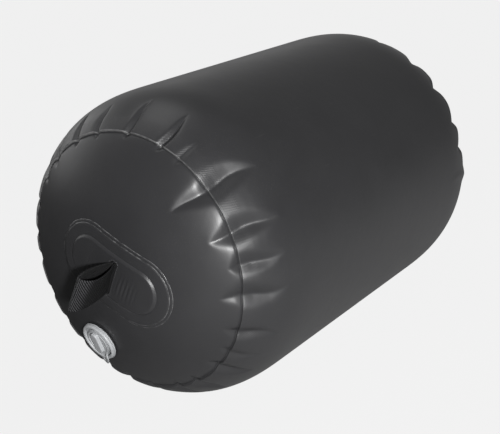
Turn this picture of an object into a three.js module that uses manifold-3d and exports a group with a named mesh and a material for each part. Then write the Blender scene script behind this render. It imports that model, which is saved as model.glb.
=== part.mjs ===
// Inflatable boat fender lying on its side: a gathered air chamber with a webbing grab handle
// and an inflation valve on its near end. Millimetres, +Z up, X along the fender.
// The origin is the centre of the small flat spot that the fender rests on.

import * as THREE from 'three';
import { mergeVertices } from 'three/addons/utils/BufferGeometryUtils.js';
import Module from 'manifold-3d';

const wasm = await Module();
wasm.setup();

// Air chamber
const fenderRadius = 228.6;
const straightHalf = 197;          // half the length of the plain tube between the rounded ends
const endDepth = 190.5;            // how far each rounded end reaches past the plain tube
const seamRadius = 187.6;          // where the tube's hem is welded over the end disc
const seamDepth = 134.3;           // how far that seam lies past the plain tube
const restWidth = 48;              // width of the flat spot under the fender
const hemThickness = 1.6;
const hemWidth = 26;
const hemLedge = 0.6;              // run of the small step from the hem's edge down to the disc

// Gathers round each end seam, as angle (deg from +Y towards +Z), depth, and reach in mm
// along the tube and into the end disc
const gatherHalfWidth = 7.5;
const gatherPitch = 14.3;          // degrees between gathers on the hidden side
const hiddenDepth = 5.5;
const pillowRise = 0.6;            // how far the sheet swells between two gathers
const tubeReach = 50;
const discReach = 24;
const reachFalloff = 1.3;          // how fast a gather dies out at its reach
const hiddenWander = { angle: 1.6, depth: 0.3, reach: 4 };  // how uneven the hidden gathers are
const wanderPhase = { angle: 2.3, depth: 1.7, reach: 1 };
const nearGathers = [
  [59, 6, 44, 22], [73, 6, 44, 22], [89, 9, 48, 25], [107, 10, 52, 27], [118, 3, 26, 14],
  [134.5, 13, 58, 44], [154, 11, 54, 24], [168, 10, 54, 22], [180, 10, 50, 22],
  [197, 8, 45, 22], [208, 4, 36, 16], [219, 7, 42, 20],
];
const farGathers = [
  [104, 8, 48, 22], [120.5, 9, 50, 24], [138, 10, 52, 26], [152.5, 8, 48, 22],
  [164.5, 9, 50, 22], [174.5, 8, 46, 22],
];

// Handle: two patches on the near end with a webbing strap sewn between them
const touchGap = 0.3;
const patchTurn = 20.3;            // degrees that the patches' long side turns up from +Y
const patchAcross = 6.5;           // patch centre above the fender's axis, along the patch's short side
const patchAlong = -7.8;
const basePatchHalf = [97.5, 52.5];
const coverPatchHalf = [93.5, 48.5];
const patchThickness = 1.2;
const raisedHalf = [75, 33];
const raisedSlope = 4;
const raisedCrown = 0.6;           // the raised edge's swell at half height
const webWidth = 51;
const webThickness = 2.4;
const webFootLength = 50;
const loopNarrowing = 0.18;        // the loop closes and reaches out further along its lower edge
const loopFlare = 0.05;
const loopSettle = 15;             // height over the patch where the loop has its full narrowing
const footReaches = [0.72, 0.4, 0.18, 0.09];  // along a foot, as shares of its length
const slitSlack = 1.5;
const slitFold = 1.9;              // room for the turn of the web from foot to loop
const slitOffset = [-1.2, -1.5];    // slit centre from the patch centre
// Middle line of the strap's loop, as (along the patch, out from the patch top)
const nearLeg = [[-1.9, 2], [-3.6, 8], [-6.9, 14.4], [-10.5, 27.7], [-12.6, 41], [-11.6, 51.8]];
const loopFold = [[-7.2, 60.6], [-1, 64.6], [3.8, 64.2], [6.6, 59.6]];
const farLeg = [[8.3, 50.8], [8.9, 38.4], [7.4, 23], [5, 11], [1.9, 2]];

// Valve, measured along its own axis from the end's surface, outwards positive
const valveRadialPlace = 122.2;    // distance of the valve from the fender's axis
const valveAngle = -72.8;          // degrees from +Y towards +Z
const seatLevel = -1.5;            // the clamped cloth is pressed flat at this level
const seatRadius = 33;
const gasketThickness = 1.5;
const flangeRadius = 29.8;
const flangeTop = 7.2;
const flangeRimWidth = 5.2;
const flangeFoot = 0.6;            // thickness of the flange under the tether's groove
const tetherGrooveDepth = 1.4;
const rimOutside = [[0, -2.2], [-0.7, -0.9], [-1.9, -0.15]];  // rim's round, from its edge and its top
const rimInside = [[1.2, -0.4], [0.3, -1.3], [0, -2.4]];
const grooveFloor = 1.8;
const stemRadius = 20;
const stemBottom = -14;
const seatThickness = 2.5;
const clampedCloth = 2.7;          // thickness of the cloth between flange and nut
const nutAcrossCorners = 53;
const nutThickness = 7;
const pocketBottom = -26;
const stemClearance = 0.4;
const boreRadius = 16;
const lugLedgeRadius = 14.2;
const lugLedgeThickness = 2;
const seatBoreRadius = 12;
const hubRadius = 5.6;
const spiderTop = -9;
const spiderThickness = 2.4;
const spiderArms = 3;
const spiderArmSpan = 16;          // degrees
const poppetRadius = 14;
const poppetStemRadius = 3;
const poppetHeadThickness = 2.2;
const poppetButtonRadius = 6.2;
const poppetButtonTop = 1;
const poppetButtonThickness = 2.2;
const poppetBevel = 1;
const buttonBevel = 0.5;
const springWireRadius = 0.45;
const springTurns = 3.5;
const springClearance = 0.3;
const capRadius = 19.6;
const capDiscThickness = 3.2;
const capWaistDepth = 2;
const capLipThickness = 1.2;
const capBevel = [0.6, 0.4];       // in from the edge, down from the top
const capSkirtRadius = 13.8;
const capSkirtInner = 11;
const capSkirtLength = 6.2;
const capSealThickness = 1.2;
const gripLength = 33;
const gripWidth = 11;
const gripHeight = 3.4;
const gripBevel = 1;
const bite = 0.8;                  // how deep a joined block is sunk into what carries it
const lugCount = 2;
const lugAngle = 22;               // degrees that each cap lug spans
const notchAngle = 30;
const quarterTurn = 90;            // from locked to where the lugs meet the notches
const tetherThickness = 1.4;
const tetherWidth = 4.4;
const tetherStart = 156;           // degrees round the valve where the tether leaves the outer ring
const tetherCross = 200;           // and where it crosses the rim to the cap
const tetherLoopRadius = 36.5;
const innerRingWidth = 3.2;        // past the cap's waist
const outerRingWidth = 1.8;
const tetherOverRim = 0.5;         // air between the rim and the tether where it crosses

const turnSteps = 32;
const plainColumns = 60;           // columns of facets round the plain tube
const gatherColumns = 120;         // and round the gathers
const flatSpread = 30;             // degrees each side of the flat over which its columns are drawn in
// Rings of facets on an end disc, as shares of the seam's radius, and how many columns each has
const discRings = [
  [0.117, 24], [0.24, 36], [0.362, 48], [0.49, 48], [0.621, plainColumns], [0.75, plainColumns],
  [0.845, gatherColumns], [0.915, gatherColumns], [0.963, gatherColumns],
];
const hemRings = [0, 0.195, 0.415, 0.66, 0.853];  // shares of the way from the seam to the plain tube
const lastRing = 0.98;
const degrees = Math.PI / 180;
const axisHeight = Math.sqrt(fenderRadius ** 2 - (restWidth / 2) ** 2);
// Power of the rounded end's curve that carries it through its seam; higher is a squarer shoulder
const endFullness = Math.log(1 - (seamRadius / fenderRadius) ** 2) / Math.log(seamDepth / endDepth);

const materials = {
  cloth: { color: 0x2e2e30, roughness: 0.55, metalness: 0 },
  webbing: { color: 0x141415, roughness: 0.85, metalness: 0 },
  rubber: { color: 0x0b0b0c, roughness: 0.7, metalness: 0 },
  valvePlastic: { color: 0xa9abab, roughness: 0.45, metalness: 0 },
  spring: { color: 0xc4c6c8, roughness: 0.3, metalness: 1 },
};

// Geometry helpers

function cleaned(geometry) {
  const bare = geometry.index ? geometry.clone() : geometry;
  bare.deleteAttribute('normal');
  bare.deleteAttribute('uv');
  const merged = mergeVertices(bare, 1e-4);
  const corner = merged.getAttribute('position');
  const kept = [];
  const index = merged.index.array;
  let volume = 0;
  const [a, b, c] = [new THREE.Vector3(), new THREE.Vector3(), new THREE.Vector3()];
  for (let i = 0; i < index.length; i += 3) {
    const [p, q, r] = [index[i], index[i + 1], index[i + 2]];
    if (p === q || q === r || r === p) continue;
    a.fromBufferAttribute(corner, p);
    b.fromBufferAttribute(corner, q);
    c.fromBufferAttribute(corner, r);
    volume += a.dot(b.cross(c)) / 6;
    kept.push(p, q, r);
  }
  if (volume < 0) {
    for (let i = 0; i < kept.length; i += 3) [kept[i], kept[i + 1]] = [kept[i + 1], kept[i]];
  }
  merged.setIndex(kept);
  return merged;
}

function toManifold(geometry) {
  const solid = cleaned(geometry);
  return new wasm.Manifold(new wasm.Mesh({
    numProp: 3,
    vertProperties: new Float32Array(solid.getAttribute('position').array),
    triVerts: new Uint32Array(solid.index.array),
  }));
}

function fromManifold(solid) {
  const mesh = solid.getMesh();
  const geometry = new THREE.BufferGeometry();
  geometry.setAttribute('position', new THREE.BufferAttribute(new Float32Array(mesh.vertProperties), 3));
  geometry.setIndex(Array.from(mesh.triVerts));
  return geometry;
}

function joined(first, ...others) {
  return fromManifold(others.reduce((sum, other) => sum.add(toManifold(other)), toManifold(first)));
}

function cutBy(first, ...cutters) {
  return fromManifold(cutters.reduce((rest, tool) => rest.subtract(toManifold(tool)), toManifold(first)));
}

// A solid through rings of points; the rings may have different counts. An open stack is closed
// by a point at each end, and a closed one joins its last ring to its first.
function loft(rings, firstPole, lastPole) {
  const points = [];
  const starts = rings.map((ring) => {
    const start = points.length;
    points.push(...ring);
    return start;
  });
  const index = [];
  const stitch = (a, b) => {
    const [countA, countB] = [rings[a].length, rings[b].length];
    let [i, j] = [0, 0];
    while (i < countA || j < countB) {
      const [pa, pb] = [starts[a] + (i % countA), starts[b] + (j % countB)];
      if (j >= countB || (i < countA && (i + 1) / countA <= (j + 1) / countB)) {
        index.push(pa, starts[a] + ((i + 1) % countA), pb);
        i += 1;
      } else {
        index.push(pa, starts[b] + ((j + 1) % countB), pb);
        j += 1;
      }
    }
  };
  for (let k = 0; k + 1 < rings.length; k += 1) stitch(k, k + 1);
  if (firstPole) {
    const fan = (pole, ring, flip) => {
      const tip = points.push(pole) - 1;
      const count = rings[ring].length;
      for (let i = 0; i < count; i += 1) {
        const [p, q] = [starts[ring] + i, starts[ring] + ((i + 1) % count)];
        index.push(...(flip ? [tip, p, q] : [tip, q, p]));
      }
    };
    fan(firstPole, 0, false);
    fan(lastPole, rings.length - 1, true);
  } else {
    stitch(rings.length - 1, 0);
  }
  const geometry = new THREE.BufferGeometry();
  geometry.setAttribute('position', new THREE.Float32BufferAttribute(points.flatMap((p) => p.toArray()), 3));
  geometry.setIndex(index);
  return geometry;
}

// A turned solid about Z from (radius, level) points; an open profile starts and ends on the axis
function turned(profile, closed = false) {
  const points = profile.map(([r, z]) => new THREE.Vector2(r, z));
  if (closed) points.push(points[0].clone());
  return new THREE.LatheGeometry(points, turnSteps).rotateX(Math.PI / 2);
}

function turnedRing(inner, outer, bottom, top) {
  return turned([[inner, bottom], [outer, bottom], [outer, top], [inner, top]], true);
}

// A block standing in a sector between two radii, centred on an angle
function sectorBlock(inner, outer, bottom, top, centreAngle, span) {
  const shape = new THREE.Shape();
  const [from, to] = [(centreAngle - span / 2) * degrees, (centreAngle + span / 2) * degrees];
  shape.absarc(0, 0, outer, from, to, false);
  shape.absarc(0, 0, inner, to, from, true);
  shape.closePath();
  return new THREE.ExtrudeGeometry(shape, { depth: top - bottom, bevelEnabled: false, curveSegments: 6 })
    .translate(0, 0, bottom);
}

function sweptTube(curve, section, steps) {
  return new THREE.ExtrudeGeometry(section, { steps, extrudePath: curve, bevelEnabled: false, curveSegments: 3 });
}

// A flat strap along a curve, its width level and its thickness upright
function flatStrap(curve, width, thickness, steps) {
  const upright = new THREE.Vector3(0, 0, 1);
  const middles = [];
  const rings = Array.from({ length: steps + 1 }, (_, i) => {
    const heading = curve.getTangentAt(i / steps);
    const side = upright.clone().cross(heading).normalize();
    const normal = heading.clone().cross(side);
    const middle = curve.getPointAt(i / steps);
    middles.push(middle);
    return [[1, 1], [-1, 1], [-1, -1], [1, -1]].map(([w, t]) => middle.clone()
      .addScaledVector(side, (w * width) / 2).addScaledVector(normal, (t * thickness) / 2));
  });
  return loft(rings, middles[0], middles[steps]);
}

const group = new THREE.Group();
const fenderFrame = new THREE.Group();
fenderFrame.position.set(0, 0, axisHeight);
group.add(fenderFrame);

function addPiece(parent, name, geometry, material) {
  const mesh = new THREE.Mesh(cleaned(geometry), new THREE.MeshStandardMaterial(materials[material]));
  mesh.name = name;
  parent.add(mesh);
  return mesh;
}

// Air chamber surface

// Axial distance of a rounded end's surface from the fender's middle, at a radius
function endLevel(radius) {
  const share = Math.min(radius / fenderRadius, 1);
  return straightHalf + endDepth * (1 - share ** 2) ** (1 / endFullness);
}

function endSlope(radius) {
  const step = 0.01;
  return (endLevel(radius - step) - endLevel(radius + step)) / (2 * step);
}

function arcFromSeam(radius) {
  const pieces = 40;
  let length = 0;
  for (let i = 0; i < pieces; i += 1) {
    const [r1, r2] = [i, i + 1].map((k) => seamRadius + ((radius - seamRadius) * k) / pieces);
    length += Math.hypot(r2 - r1, endLevel(r2) - endLevel(r1));
  }
  return Math.sign(radius - seamRadius) * length;
}

// The measured gathers, and evenly irregular ones round the side that can't be seen
function allGathers(seen) {
  const gathers = seen.map((row) => [...row]);
  const [first, last] = [seen[0][0], seen[seen.length - 1][0]];
  const hiddenSpan = 360 - (last - first);
  const hidden = Math.round(hiddenSpan / gatherPitch) - 1;
  for (let k = 1; k <= hidden; k += 1) {
    const wander = (what) => hiddenWander[what] * Math.sin(wanderPhase[what] * k);
    const angle = last + (hiddenSpan * k) / (hidden + 1) + wander('angle');
    gathers.push([angle, hiddenDepth * (1 + wander('depth')), tubeReach - wander('reach'), discReach]);
  }
  return gathers;
}

// How far the sheet stands off its plain form at an angle and an arc distance from the seam
function gatherOffset(gathers, angle, arc) {
  const fade = (onTube, onDisc) => Math.exp(-((arc / (arc > 0 ? onTube : onDisc)) ** 2) * reachFalloff);
  let offset = pillowRise * fade(tubeReach, discReach);
  for (const [place, depth, reachTube, reachDisc] of gathers) {
    const turn = ((((angle - place) % 360) + 540) % 360) - 180;
    const across = (turn * degrees * seamRadius) / gatherHalfWidth;
    offset -= (depth + pillowRise) * fade(reachTube, reachDisc) * Math.exp(-(across ** 2));
  }
  return offset;
}

// Columns run evenly round the fender, with two of them drawn to the edges of the flat spot
function columnAngle(column, count) {
  const angle = (360 * column) / count;
  const flatHalf = Math.asin(restWidth / 2 / fenderRadius) / degrees;
  const edge = 360 / plainColumns;
  const away = Math.abs(angle - 270);
  if (away >= flatSpread) return angle;
  const drawn = away <= edge
    ? (away * flatHalf) / edge
    : flatHalf + ((away - edge) * (flatSpread - flatHalf)) / (flatSpread - edge);
  return 270 + Math.sign(angle - 270) * drawn;
}

// One ring of the chamber: outward is its surface's direction, [along the axis, away from the axis]
function chamberRing(side, radius, level, outward, riseAt, count) {
  return Array.from({ length: count }, (_, i) => {
    const angle = columnAngle(i, count);
    const rise = riseAt(angle);
    const r = radius + outward[1] * rise;
    const z = Math.max(r * Math.sin(angle * degrees), -axisHeight);
    return new THREE.Vector3(side * (level + outward[0] * rise), r * Math.cos(angle * degrees), z);
  });
}

function tubeRing(side, level) {
  return chamberRing(side, fenderRadius, level, [0, 1], () => 0, plainColumns);
}

function endRings(side, gathers) {
  const rings = [];
  const addRing = (radius, count, lift = 0) => {
    const [arc, slope] = [arcFromSeam(radius), endSlope(radius)];
    const outward = [1, slope].map((v) => v / Math.hypot(1, slope));
    const riseAt = (angle) => lift + gatherOffset(gathers, angle, arc);
    rings.push(chamberRing(side, radius, endLevel(radius), outward, riseAt, count));
  };
  for (const [share, count] of discRings) addRing(seamRadius * share, count);
  addRing(seamRadius - hemLedge, gatherColumns);
  for (const share of hemRings) {
    const radius = seamRadius + (fenderRadius - seamRadius) * share;
    addRing(radius, gatherColumns, hemThickness * Math.max(0, 1 - arcFromSeam(radius) / hemWidth));
  }
  addRing(seamRadius + (fenderRadius - seamRadius) * lastRing, plainColumns);
  rings.push(tubeRing(side, straightHalf));
  return rings;
}

function makeChamber(valveFrame) {
  const near = endRings(-1, allGathers(nearGathers));
  const far = endRings(1, allGathers(farGathers)).reverse();
  const tip = endLevel(0);
  const shell = loft([...near, tubeRing(1, 0), ...far], new THREE.Vector3(-tip, 0, 0), new THREE.Vector3(tip, 0, 0));
  const neck = stemRadius + stemClearance;
  const nutRoom = nutAcrossCorners / 2 + stemClearance;
  const clothBottom = seatLevel - clampedCloth;
  const nutBottom = clothBottom - nutThickness - 2 * touchGap;
  const pocket = turned([
    [0, flangeTop], [seatRadius, flangeTop], [seatRadius, seatLevel], [neck, seatLevel],
    [neck, clothBottom], [nutRoom, clothBottom], [nutRoom, nutBottom], [neck, nutBottom],
    [neck, pocketBottom], [0, pocketBottom],
  ]);
  valveFrame.updateMatrix();
  return cutBy(shell, pocket.applyMatrix4(valveFrame.matrix));
}

// Handle

// A point over the near end: along and across the patches, and out from the end's surface
const alongPatch = new THREE.Vector3(0, Math.cos(patchTurn * degrees), Math.sin(patchTurn * degrees));
const acrossPatch = new THREE.Vector3(0, -Math.sin(patchTurn * degrees), Math.cos(patchTurn * degrees));

function overEnd(along, across, height) {
  const place = new THREE.Vector3()
    .addScaledVector(alongPatch, patchAlong + along)
    .addScaledVector(acrossPatch, patchAcross + across);
  place.x = -(endLevel(Math.hypot(place.y, place.z)) + height);
  return place;
}

// A rounded rectangle's outline at equal steps, starting at its +along side
function roundedOutline([halfAlong, halfAcross], cornerRadius, count = 48) {
  const [a, b] = [halfAlong - cornerRadius, halfAcross - cornerRadius];
  const corner = (Math.PI / 2) * cornerRadius;
  const quarter = b + corner + a;
  const firstQuadrant = (distance) => {
    if (distance <= b) return [halfAlong, distance];
    if (distance <= b + corner) {
      const turn = (distance - b) / cornerRadius;
      return [a + cornerRadius * Math.cos(turn), b + cornerRadius * Math.sin(turn)];
    }
    return [a - (distance - b - corner), halfAcross];
  };
  const points = [];
  for (let i = 0; i < count; i += 1) {
    const quadrant = Math.floor((4 * i) / count);
    const into = (4 * i) / count - quadrant;
    const mirrored = quadrant % 2 === 1;
    const [x, y] = firstQuadrant(quarter * (mirrored ? 1 - into : into));
    points.push([quadrant === 1 || quadrant === 2 ? -x : x, quadrant >= 2 ? -y : y]);
  }
  return points;
}

function patchRing(half, cornerRadius, height, offset = [0, 0]) {
  return roundedOutline(half, cornerRadius).map(([x, y]) => overEnd(x + offset[0], y + offset[1], height));
}

function makeBasePatch() {
  const [bottom, top] = [touchGap, touchGap + patchThickness];
  const scales = [0.2, 0.4, 0.6, 0.8, 1];
  const ring = (scale, height) => patchRing(basePatchHalf.map((h) => h * scale), basePatchHalf[1] * scale, height);
  const rings = [...scales.map((s) => ring(s, top)), ...scales.reverse().map((s) => ring(s, bottom))];
  return loft(rings, overEnd(0, 0, top), overEnd(0, 0, bottom));
}

const basePatchTop = touchGap + patchThickness;
const footBottom = basePatchTop + touchGap;
const footTop = footBottom + webThickness;
const slitHalf = [webThickness + slitSlack + slitFold, webWidth / 2 + slitSlack];
const slitCorner = slitHalf[0] * 0.8;

function makeCoverPatch() {
  const grown = (half, by) => half.map((h) => h + by);
  const stadium = (half, by, height) => patchRing(grown(half, by), half[1] + by, height);
  const slit = (height) => patchRing(slitHalf, slitCorner, height, slitOffset);
  const inside = [0.27, 0.5, 0.74].map((share) => [raisedHalf[0] * share, raisedHalf[1] - raisedSlope]);
  const insideRings = (height) => inside.map((half) => patchRing(half, half[0] * 0.6, height));
  const raisedBottom = footTop + touchGap;
  const raisedTop = raisedBottom + patchThickness;
  const flatBottom = basePatchTop + touchGap;
  const flatTop = flatBottom + patchThickness;
  return loft([
    slit(raisedTop),
    ...insideRings(raisedTop),
    stadium(raisedHalf, -raisedSlope / 2, raisedTop),
    stadium(raisedHalf, 0, (raisedTop + flatTop) / 2 + raisedCrown),
    stadium(raisedHalf, 1, flatTop),
    stadium(raisedHalf.map((h, i) => (h + coverPatchHalf[i]) / 2), 0, flatTop),
    stadium(coverPatchHalf, 0, flatTop),
    stadium(coverPatchHalf, 0, flatBottom),
    stadium(raisedHalf.map((h, i) => (h + coverPatchHalf[i]) / 2), 0, flatBottom),
    stadium(raisedHalf, 1 - patchThickness, flatBottom),
    stadium(raisedHalf, -patchThickness - touchGap, (raisedBottom + flatBottom) / 2 + touchGap),
    stadium(raisedHalf, -raisedSlope / 2 - patchThickness, raisedBottom),
    ...insideRings(raisedBottom).reverse(),
    slit(raisedBottom),
  ]);
}

// The strap's middle line runs from one foot under the cover, out round the loop, to the other foot
function strapMiddle() {
  const footLevel = (footBottom + footTop) / 2;
  const [slitAlong] = slitOffset;
  const legs = [...nearLeg, ...loopFold, ...farLeg].map(([along, out]) => [along, footTop + out]);
  const foot = (side) => [1, ...footReaches].map((share) => [side * webFootLength * share, footLevel]);
  const route = [...foot(-1), ...legs, ...foot(1).reverse()];
  return new THREE.CatmullRomCurve3(
    route.map(([along, out]) => new THREE.Vector3(slitAlong + along, out, 0)), false, 'centripetal');
}

function makeStrap() {
  const curve = strapMiddle();
  const steps = 48;
  const stations = [-1, -0.5, 0, 0.5, 1].map((share) => (share * webWidth) / 2);
  const rings = [];
  for (let i = 0; i <= steps; i += 1) {
    const middle = curve.getPoint(i / steps);
    const heading = curve.getTangent(i / steps);
    const [nx, ny] = [-heading.y, heading.x].map((v) => (v * webThickness) / 2);
    const side = (sign, order) => order.map((across) => {
      const lower = 1 - across / (webWidth / 2);
      const out = Math.max(middle.y + sign * ny - footTop, 0);
      const inLoop = Math.min(out / loopSettle, 1);
      const along = slitOffset[0] + (middle.x + sign * nx - slitOffset[0]) * (1 - loopNarrowing * lower * inLoop);
      return overEnd(along, across + slitOffset[1], middle.y + sign * ny + out * loopFlare * lower);
    });
    rings.push([...side(1, stations), ...side(-1, [...stations].reverse())]);
  }
  const centre = (ring) => ring.reduce((sum, p) => sum.add(p), new THREE.Vector3()).divideScalar(ring.length);
  return loft(rings, centre(rings[0]), centre(rings[steps]));
}

// Valve

function placeValve() {
  const frame = new THREE.Group();
  const radial = new THREE.Vector3(0, Math.cos(valveAngle * degrees), Math.sin(valveAngle * degrees));
  frame.position.copy(radial).multiplyScalar(valveRadialPlace);
  frame.position.x = -endLevel(valveRadialPlace);
  const normal = new THREE.Vector3(-1, 0, 0).addScaledVector(radial, endSlope(valveRadialPlace)).normalize();
  frame.quaternion.setFromUnitVectors(new THREE.Vector3(0, 0, 1), normal);
  return frame;
}

const gasketBottom = seatLevel + touchGap;
const gasketTop = gasketBottom + gasketThickness;
const flangeBottom = gasketTop + touchGap;
const capSealBottom = grooveFloor + touchGap;
const capBottom = capSealBottom + capSealThickness + touchGap;
const capTop = capBottom + capDiscThickness;
const poppetSealTop = stemBottom - touchGap;
const tetherRingInner = capRadius - capWaistDepth + stemClearance;
const outerRingBottom = flangeBottom + flangeFoot + touchGap;
const outerRingTop = outerRingBottom + tetherThickness;

function makeValveBody() {
  const rimInner = flangeRadius - flangeRimWidth;
  const rimMiddle = flangeRadius - flangeRimWidth / 2;
  const neckOfRim = flangeRadius - tetherGrooveDepth;
  const shell = turned([
    [stemRadius, flangeBottom], [flangeRadius, flangeBottom], [flangeRadius, outerRingBottom - touchGap],
    [neckOfRim, outerRingBottom - touchGap], [neckOfRim, outerRingTop + touchGap],
    [flangeRadius, outerRingTop + touchGap],
    ...rimOutside.map(([out, up]) => [flangeRadius + out, flangeTop + up]),
    [rimMiddle, flangeTop],
    ...rimInside.map(([out, up]) => [rimInner + out, flangeTop + up]),
    [rimInner, grooveFloor], [lugLedgeRadius, grooveFloor], [lugLedgeRadius, grooveFloor - lugLedgeThickness],
    [boreRadius, grooveFloor - lugLedgeThickness], [boreRadius, stemBottom + seatThickness],
    [seatBoreRadius, stemBottom + seatThickness], [seatBoreRadius, stemBottom], [stemRadius, stemBottom],
  ], true);
  const spiderBottom = spiderTop - spiderThickness;
  const hub = turnedRing(poppetStemRadius + stemClearance, hubRadius, spiderBottom, spiderTop);
  const arms = Array.from({ length: spiderArms }, (_, k) => sectorBlock(
    hubRadius - bite, boreRadius + bite, spiderBottom, spiderTop, (360 / spiderArms) * k, spiderArmSpan));
  const notches = Array.from({ length: lugCount }, (_, k) => sectorBlock(
    lugLedgeRadius - bite, boreRadius, grooveFloor - lugLedgeThickness - bite, grooveFloor + bite,
    quarterTurn + (360 / lugCount) * k, notchAngle));
  return cutBy(joined(shell, hub, ...arms), ...notches);
}

function makeBackNut() {
  const hexagon = new THREE.Shape();
  for (let i = 0; i < 6; i += 1) {
    const [x, y] = [Math.cos, Math.sin].map((turn) => (nutAcrossCorners / 2) * turn((i * Math.PI) / 3));
    if (i) hexagon.lineTo(x, y); else hexagon.moveTo(x, y);
  }
  hexagon.closePath();
  const hole = new THREE.Path();
  hole.absarc(0, 0, stemRadius + touchGap, 0, 2 * Math.PI, true);
  hexagon.holes.push(hole);
  return new THREE.ExtrudeGeometry(hexagon, { depth: nutThickness, bevelEnabled: false, curveSegments: 32 })
    .translate(0, 0, seatLevel - clampedCloth - touchGap - nutThickness);
}

function makeCap() {
  const waist = capRadius - capWaistDepth;
  const lipBottom = capTop - capLipThickness;
  const skirtBottom = capBottom - capSkirtLength;
  const body = turned([
    [0, capBottom], [capSkirtInner, capBottom], [capSkirtInner, skirtBottom], [capSkirtRadius, skirtBottom],
    [capSkirtRadius, capBottom], [waist, capBottom], [waist, lipBottom], [capRadius, lipBottom],
    [capRadius, capTop - capBevel[1]], [capRadius - capBevel[0], capTop], [0, capTop],
  ]);
  const halves = [gripLength / 2, gripWidth / 2];
  const grip = (by, height) => roundedOutline(halves.map((h) => h - by), halves[1] - by - 0.01, 24)
    .map(([x, y]) => new THREE.Vector3(x, y, height));
  const bar = loft(
    [grip(0, capTop - bite), grip(0, capTop + gripHeight - gripBevel), grip(gripBevel, capTop + gripHeight)],
    new THREE.Vector3(0, 0, capTop - bite), new THREE.Vector3(0, 0, capTop + gripHeight));
  const lugTop = grooveFloor - lugLedgeThickness - touchGap;
  const lugs = Array.from({ length: lugCount }, (_, k) => sectorBlock(
    capSkirtRadius - bite, boreRadius - stemClearance, skirtBottom, lugTop, (360 / lugCount) * k, lugAngle));
  return joined(body, bar, ...lugs);
}

// Two rings joined by a strap: the inner ring turns freely under the cap's lip, and the outer
// ring sits in a groove round the flange
function makeTether() {
  const innerLevel = capTop - capLipThickness - touchGap - tetherThickness;
  const innerOuter = tetherRingInner + innerRingWidth;
  const innerRing = turnedRing(tetherRingInner, innerOuter, innerLevel, innerLevel + tetherThickness);
  const outerInner = flangeRadius - tetherGrooveDepth + stemClearance;
  const outerOuter = outerInner + outerRingWidth;
  const outerRing = turnedRing(outerInner, outerOuter, outerRingBottom, outerRingTop);
  const at = (angle, radius, level) => new THREE.Vector3(
    radius * Math.cos(angle * degrees), radius * Math.sin(angle * degrees), level);
  const halfStrap = tetherThickness / 2;
  const overRim = flangeTop + tetherOverRim + halfStrap;
  const middleAngle = (tetherStart + tetherCross) / 2;
  const route = new THREE.CatmullRomCurve3([
    at(tetherStart - 8, outerOuter + 0.7, outerRingBottom + halfStrap),
    at(tetherStart, outerOuter + 1.6, outerRingBottom + halfStrap),
    at(middleAngle - 8, tetherLoopRadius - 0.8, (outerRingTop + overRim) / 2 - 1),
    at(middleAngle + 5, tetherLoopRadius, (outerRingTop + overRim) / 2 + 1),
    at(tetherCross - 7, flangeRadius + 2.2, overRim - 0.4),
    at(tetherCross, flangeRadius - flangeRimWidth / 2, overRim),
    at(tetherCross + 1, flangeRadius - flangeRimWidth - 1.4, overRim - 1.2),
    at(tetherCross + 1, innerOuter - 0.6, innerLevel + halfStrap),
  ], false, 'centripetal');
  return joined(innerRing, outerRing, flatStrap(route, tetherWidth, tetherThickness, 24));
}

function makePoppet() {
  const headTop = poppetSealTop - capSealThickness - touchGap;
  return turned([
    [0, headTop - poppetHeadThickness], [poppetRadius - poppetBevel, headTop - poppetHeadThickness],
    [poppetRadius, headTop - poppetHeadThickness + poppetBevel], [poppetRadius, headTop],
    [poppetStemRadius, headTop],
    [poppetStemRadius, poppetButtonTop - poppetButtonThickness],
    [poppetButtonRadius, poppetButtonTop - poppetButtonThickness],
    [poppetButtonRadius, poppetButtonTop - buttonBevel], [poppetButtonRadius - buttonBevel, poppetButtonTop],
    [0, poppetButtonTop],
  ]);
}

function makeSpring() {
  const radius = poppetStemRadius + stemClearance + springClearance + springWireRadius;
  const bottom = spiderTop + touchGap + springWireRadius;
  const top = poppetButtonTop - poppetButtonThickness - touchGap - springWireRadius;
  class Coil extends THREE.Curve {
    getPoint(t, target = new THREE.Vector3()) {
      const turn = 2 * Math.PI * springTurns * t;
      return target.set(radius * Math.cos(turn), radius * Math.sin(turn), bottom + (top - bottom) * t);
    }
  }
  const wire = new THREE.Shape();
  wire.absarc(0, 0, springWireRadius, 0, 2 * Math.PI, false);
  return sweptTube(new Coil(), wire, 49);
}

const valveFrame = placeValve();
fenderFrame.add(valveFrame);

addPiece(fenderFrame, 'air_chamber', makeChamber(valveFrame), 'cloth');
addPiece(fenderFrame, 'handle_base_patch', makeBasePatch(), 'cloth');
addPiece(fenderFrame, 'handle_strap', makeStrap(), 'webbing');
addPiece(fenderFrame, 'handle_cover_patch', makeCoverPatch(), 'cloth');

addPiece(valveFrame, 'valve_gasket', turnedRing(stemRadius + stemClearance, flangeRadius + 0.5,
  gasketBottom, gasketTop), 'rubber');
addPiece(valveFrame, 'valve_body', makeValveBody(), 'valvePlastic');
addPiece(valveFrame, 'valve_back_nut', makeBackNut(), 'valvePlastic');
addPiece(valveFrame, 'valve_cap', makeCap(), 'valvePlastic');
addPiece(valveFrame, 'cap_seal', turnedRing(capSkirtRadius + stemClearance, capRadius - capWaistDepth,
  capSealBottom, capSealBottom + capSealThickness), 'rubber');
addPiece(valveFrame, 'cap_tether', makeTether(), 'valvePlastic');
addPiece(valveFrame, 'valve_poppet', makePoppet(), 'valvePlastic');
addPiece(valveFrame, 'poppet_seal', turnedRing(poppetStemRadius + stemClearance, poppetRadius - 0.4,
  poppetSealTop - capSealThickness, poppetSealTop), 'rubber');
addPiece(valveFrame, 'poppet_spring', makeSpring(), 'spring');

export default group;
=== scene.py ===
"""Looks of an inflatable boat fender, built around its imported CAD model.

Lengths are metres unless mm is said. Angles in tables are degrees from +Y towards +Z, and the fender's
axis is +X."""

import math

import bmesh
import bpy
import numpy as np
from bpy.props import FloatProperty, FloatVectorProperty, IntProperty, PointerProperty
from mathutils import Matrix, Vector


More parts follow.
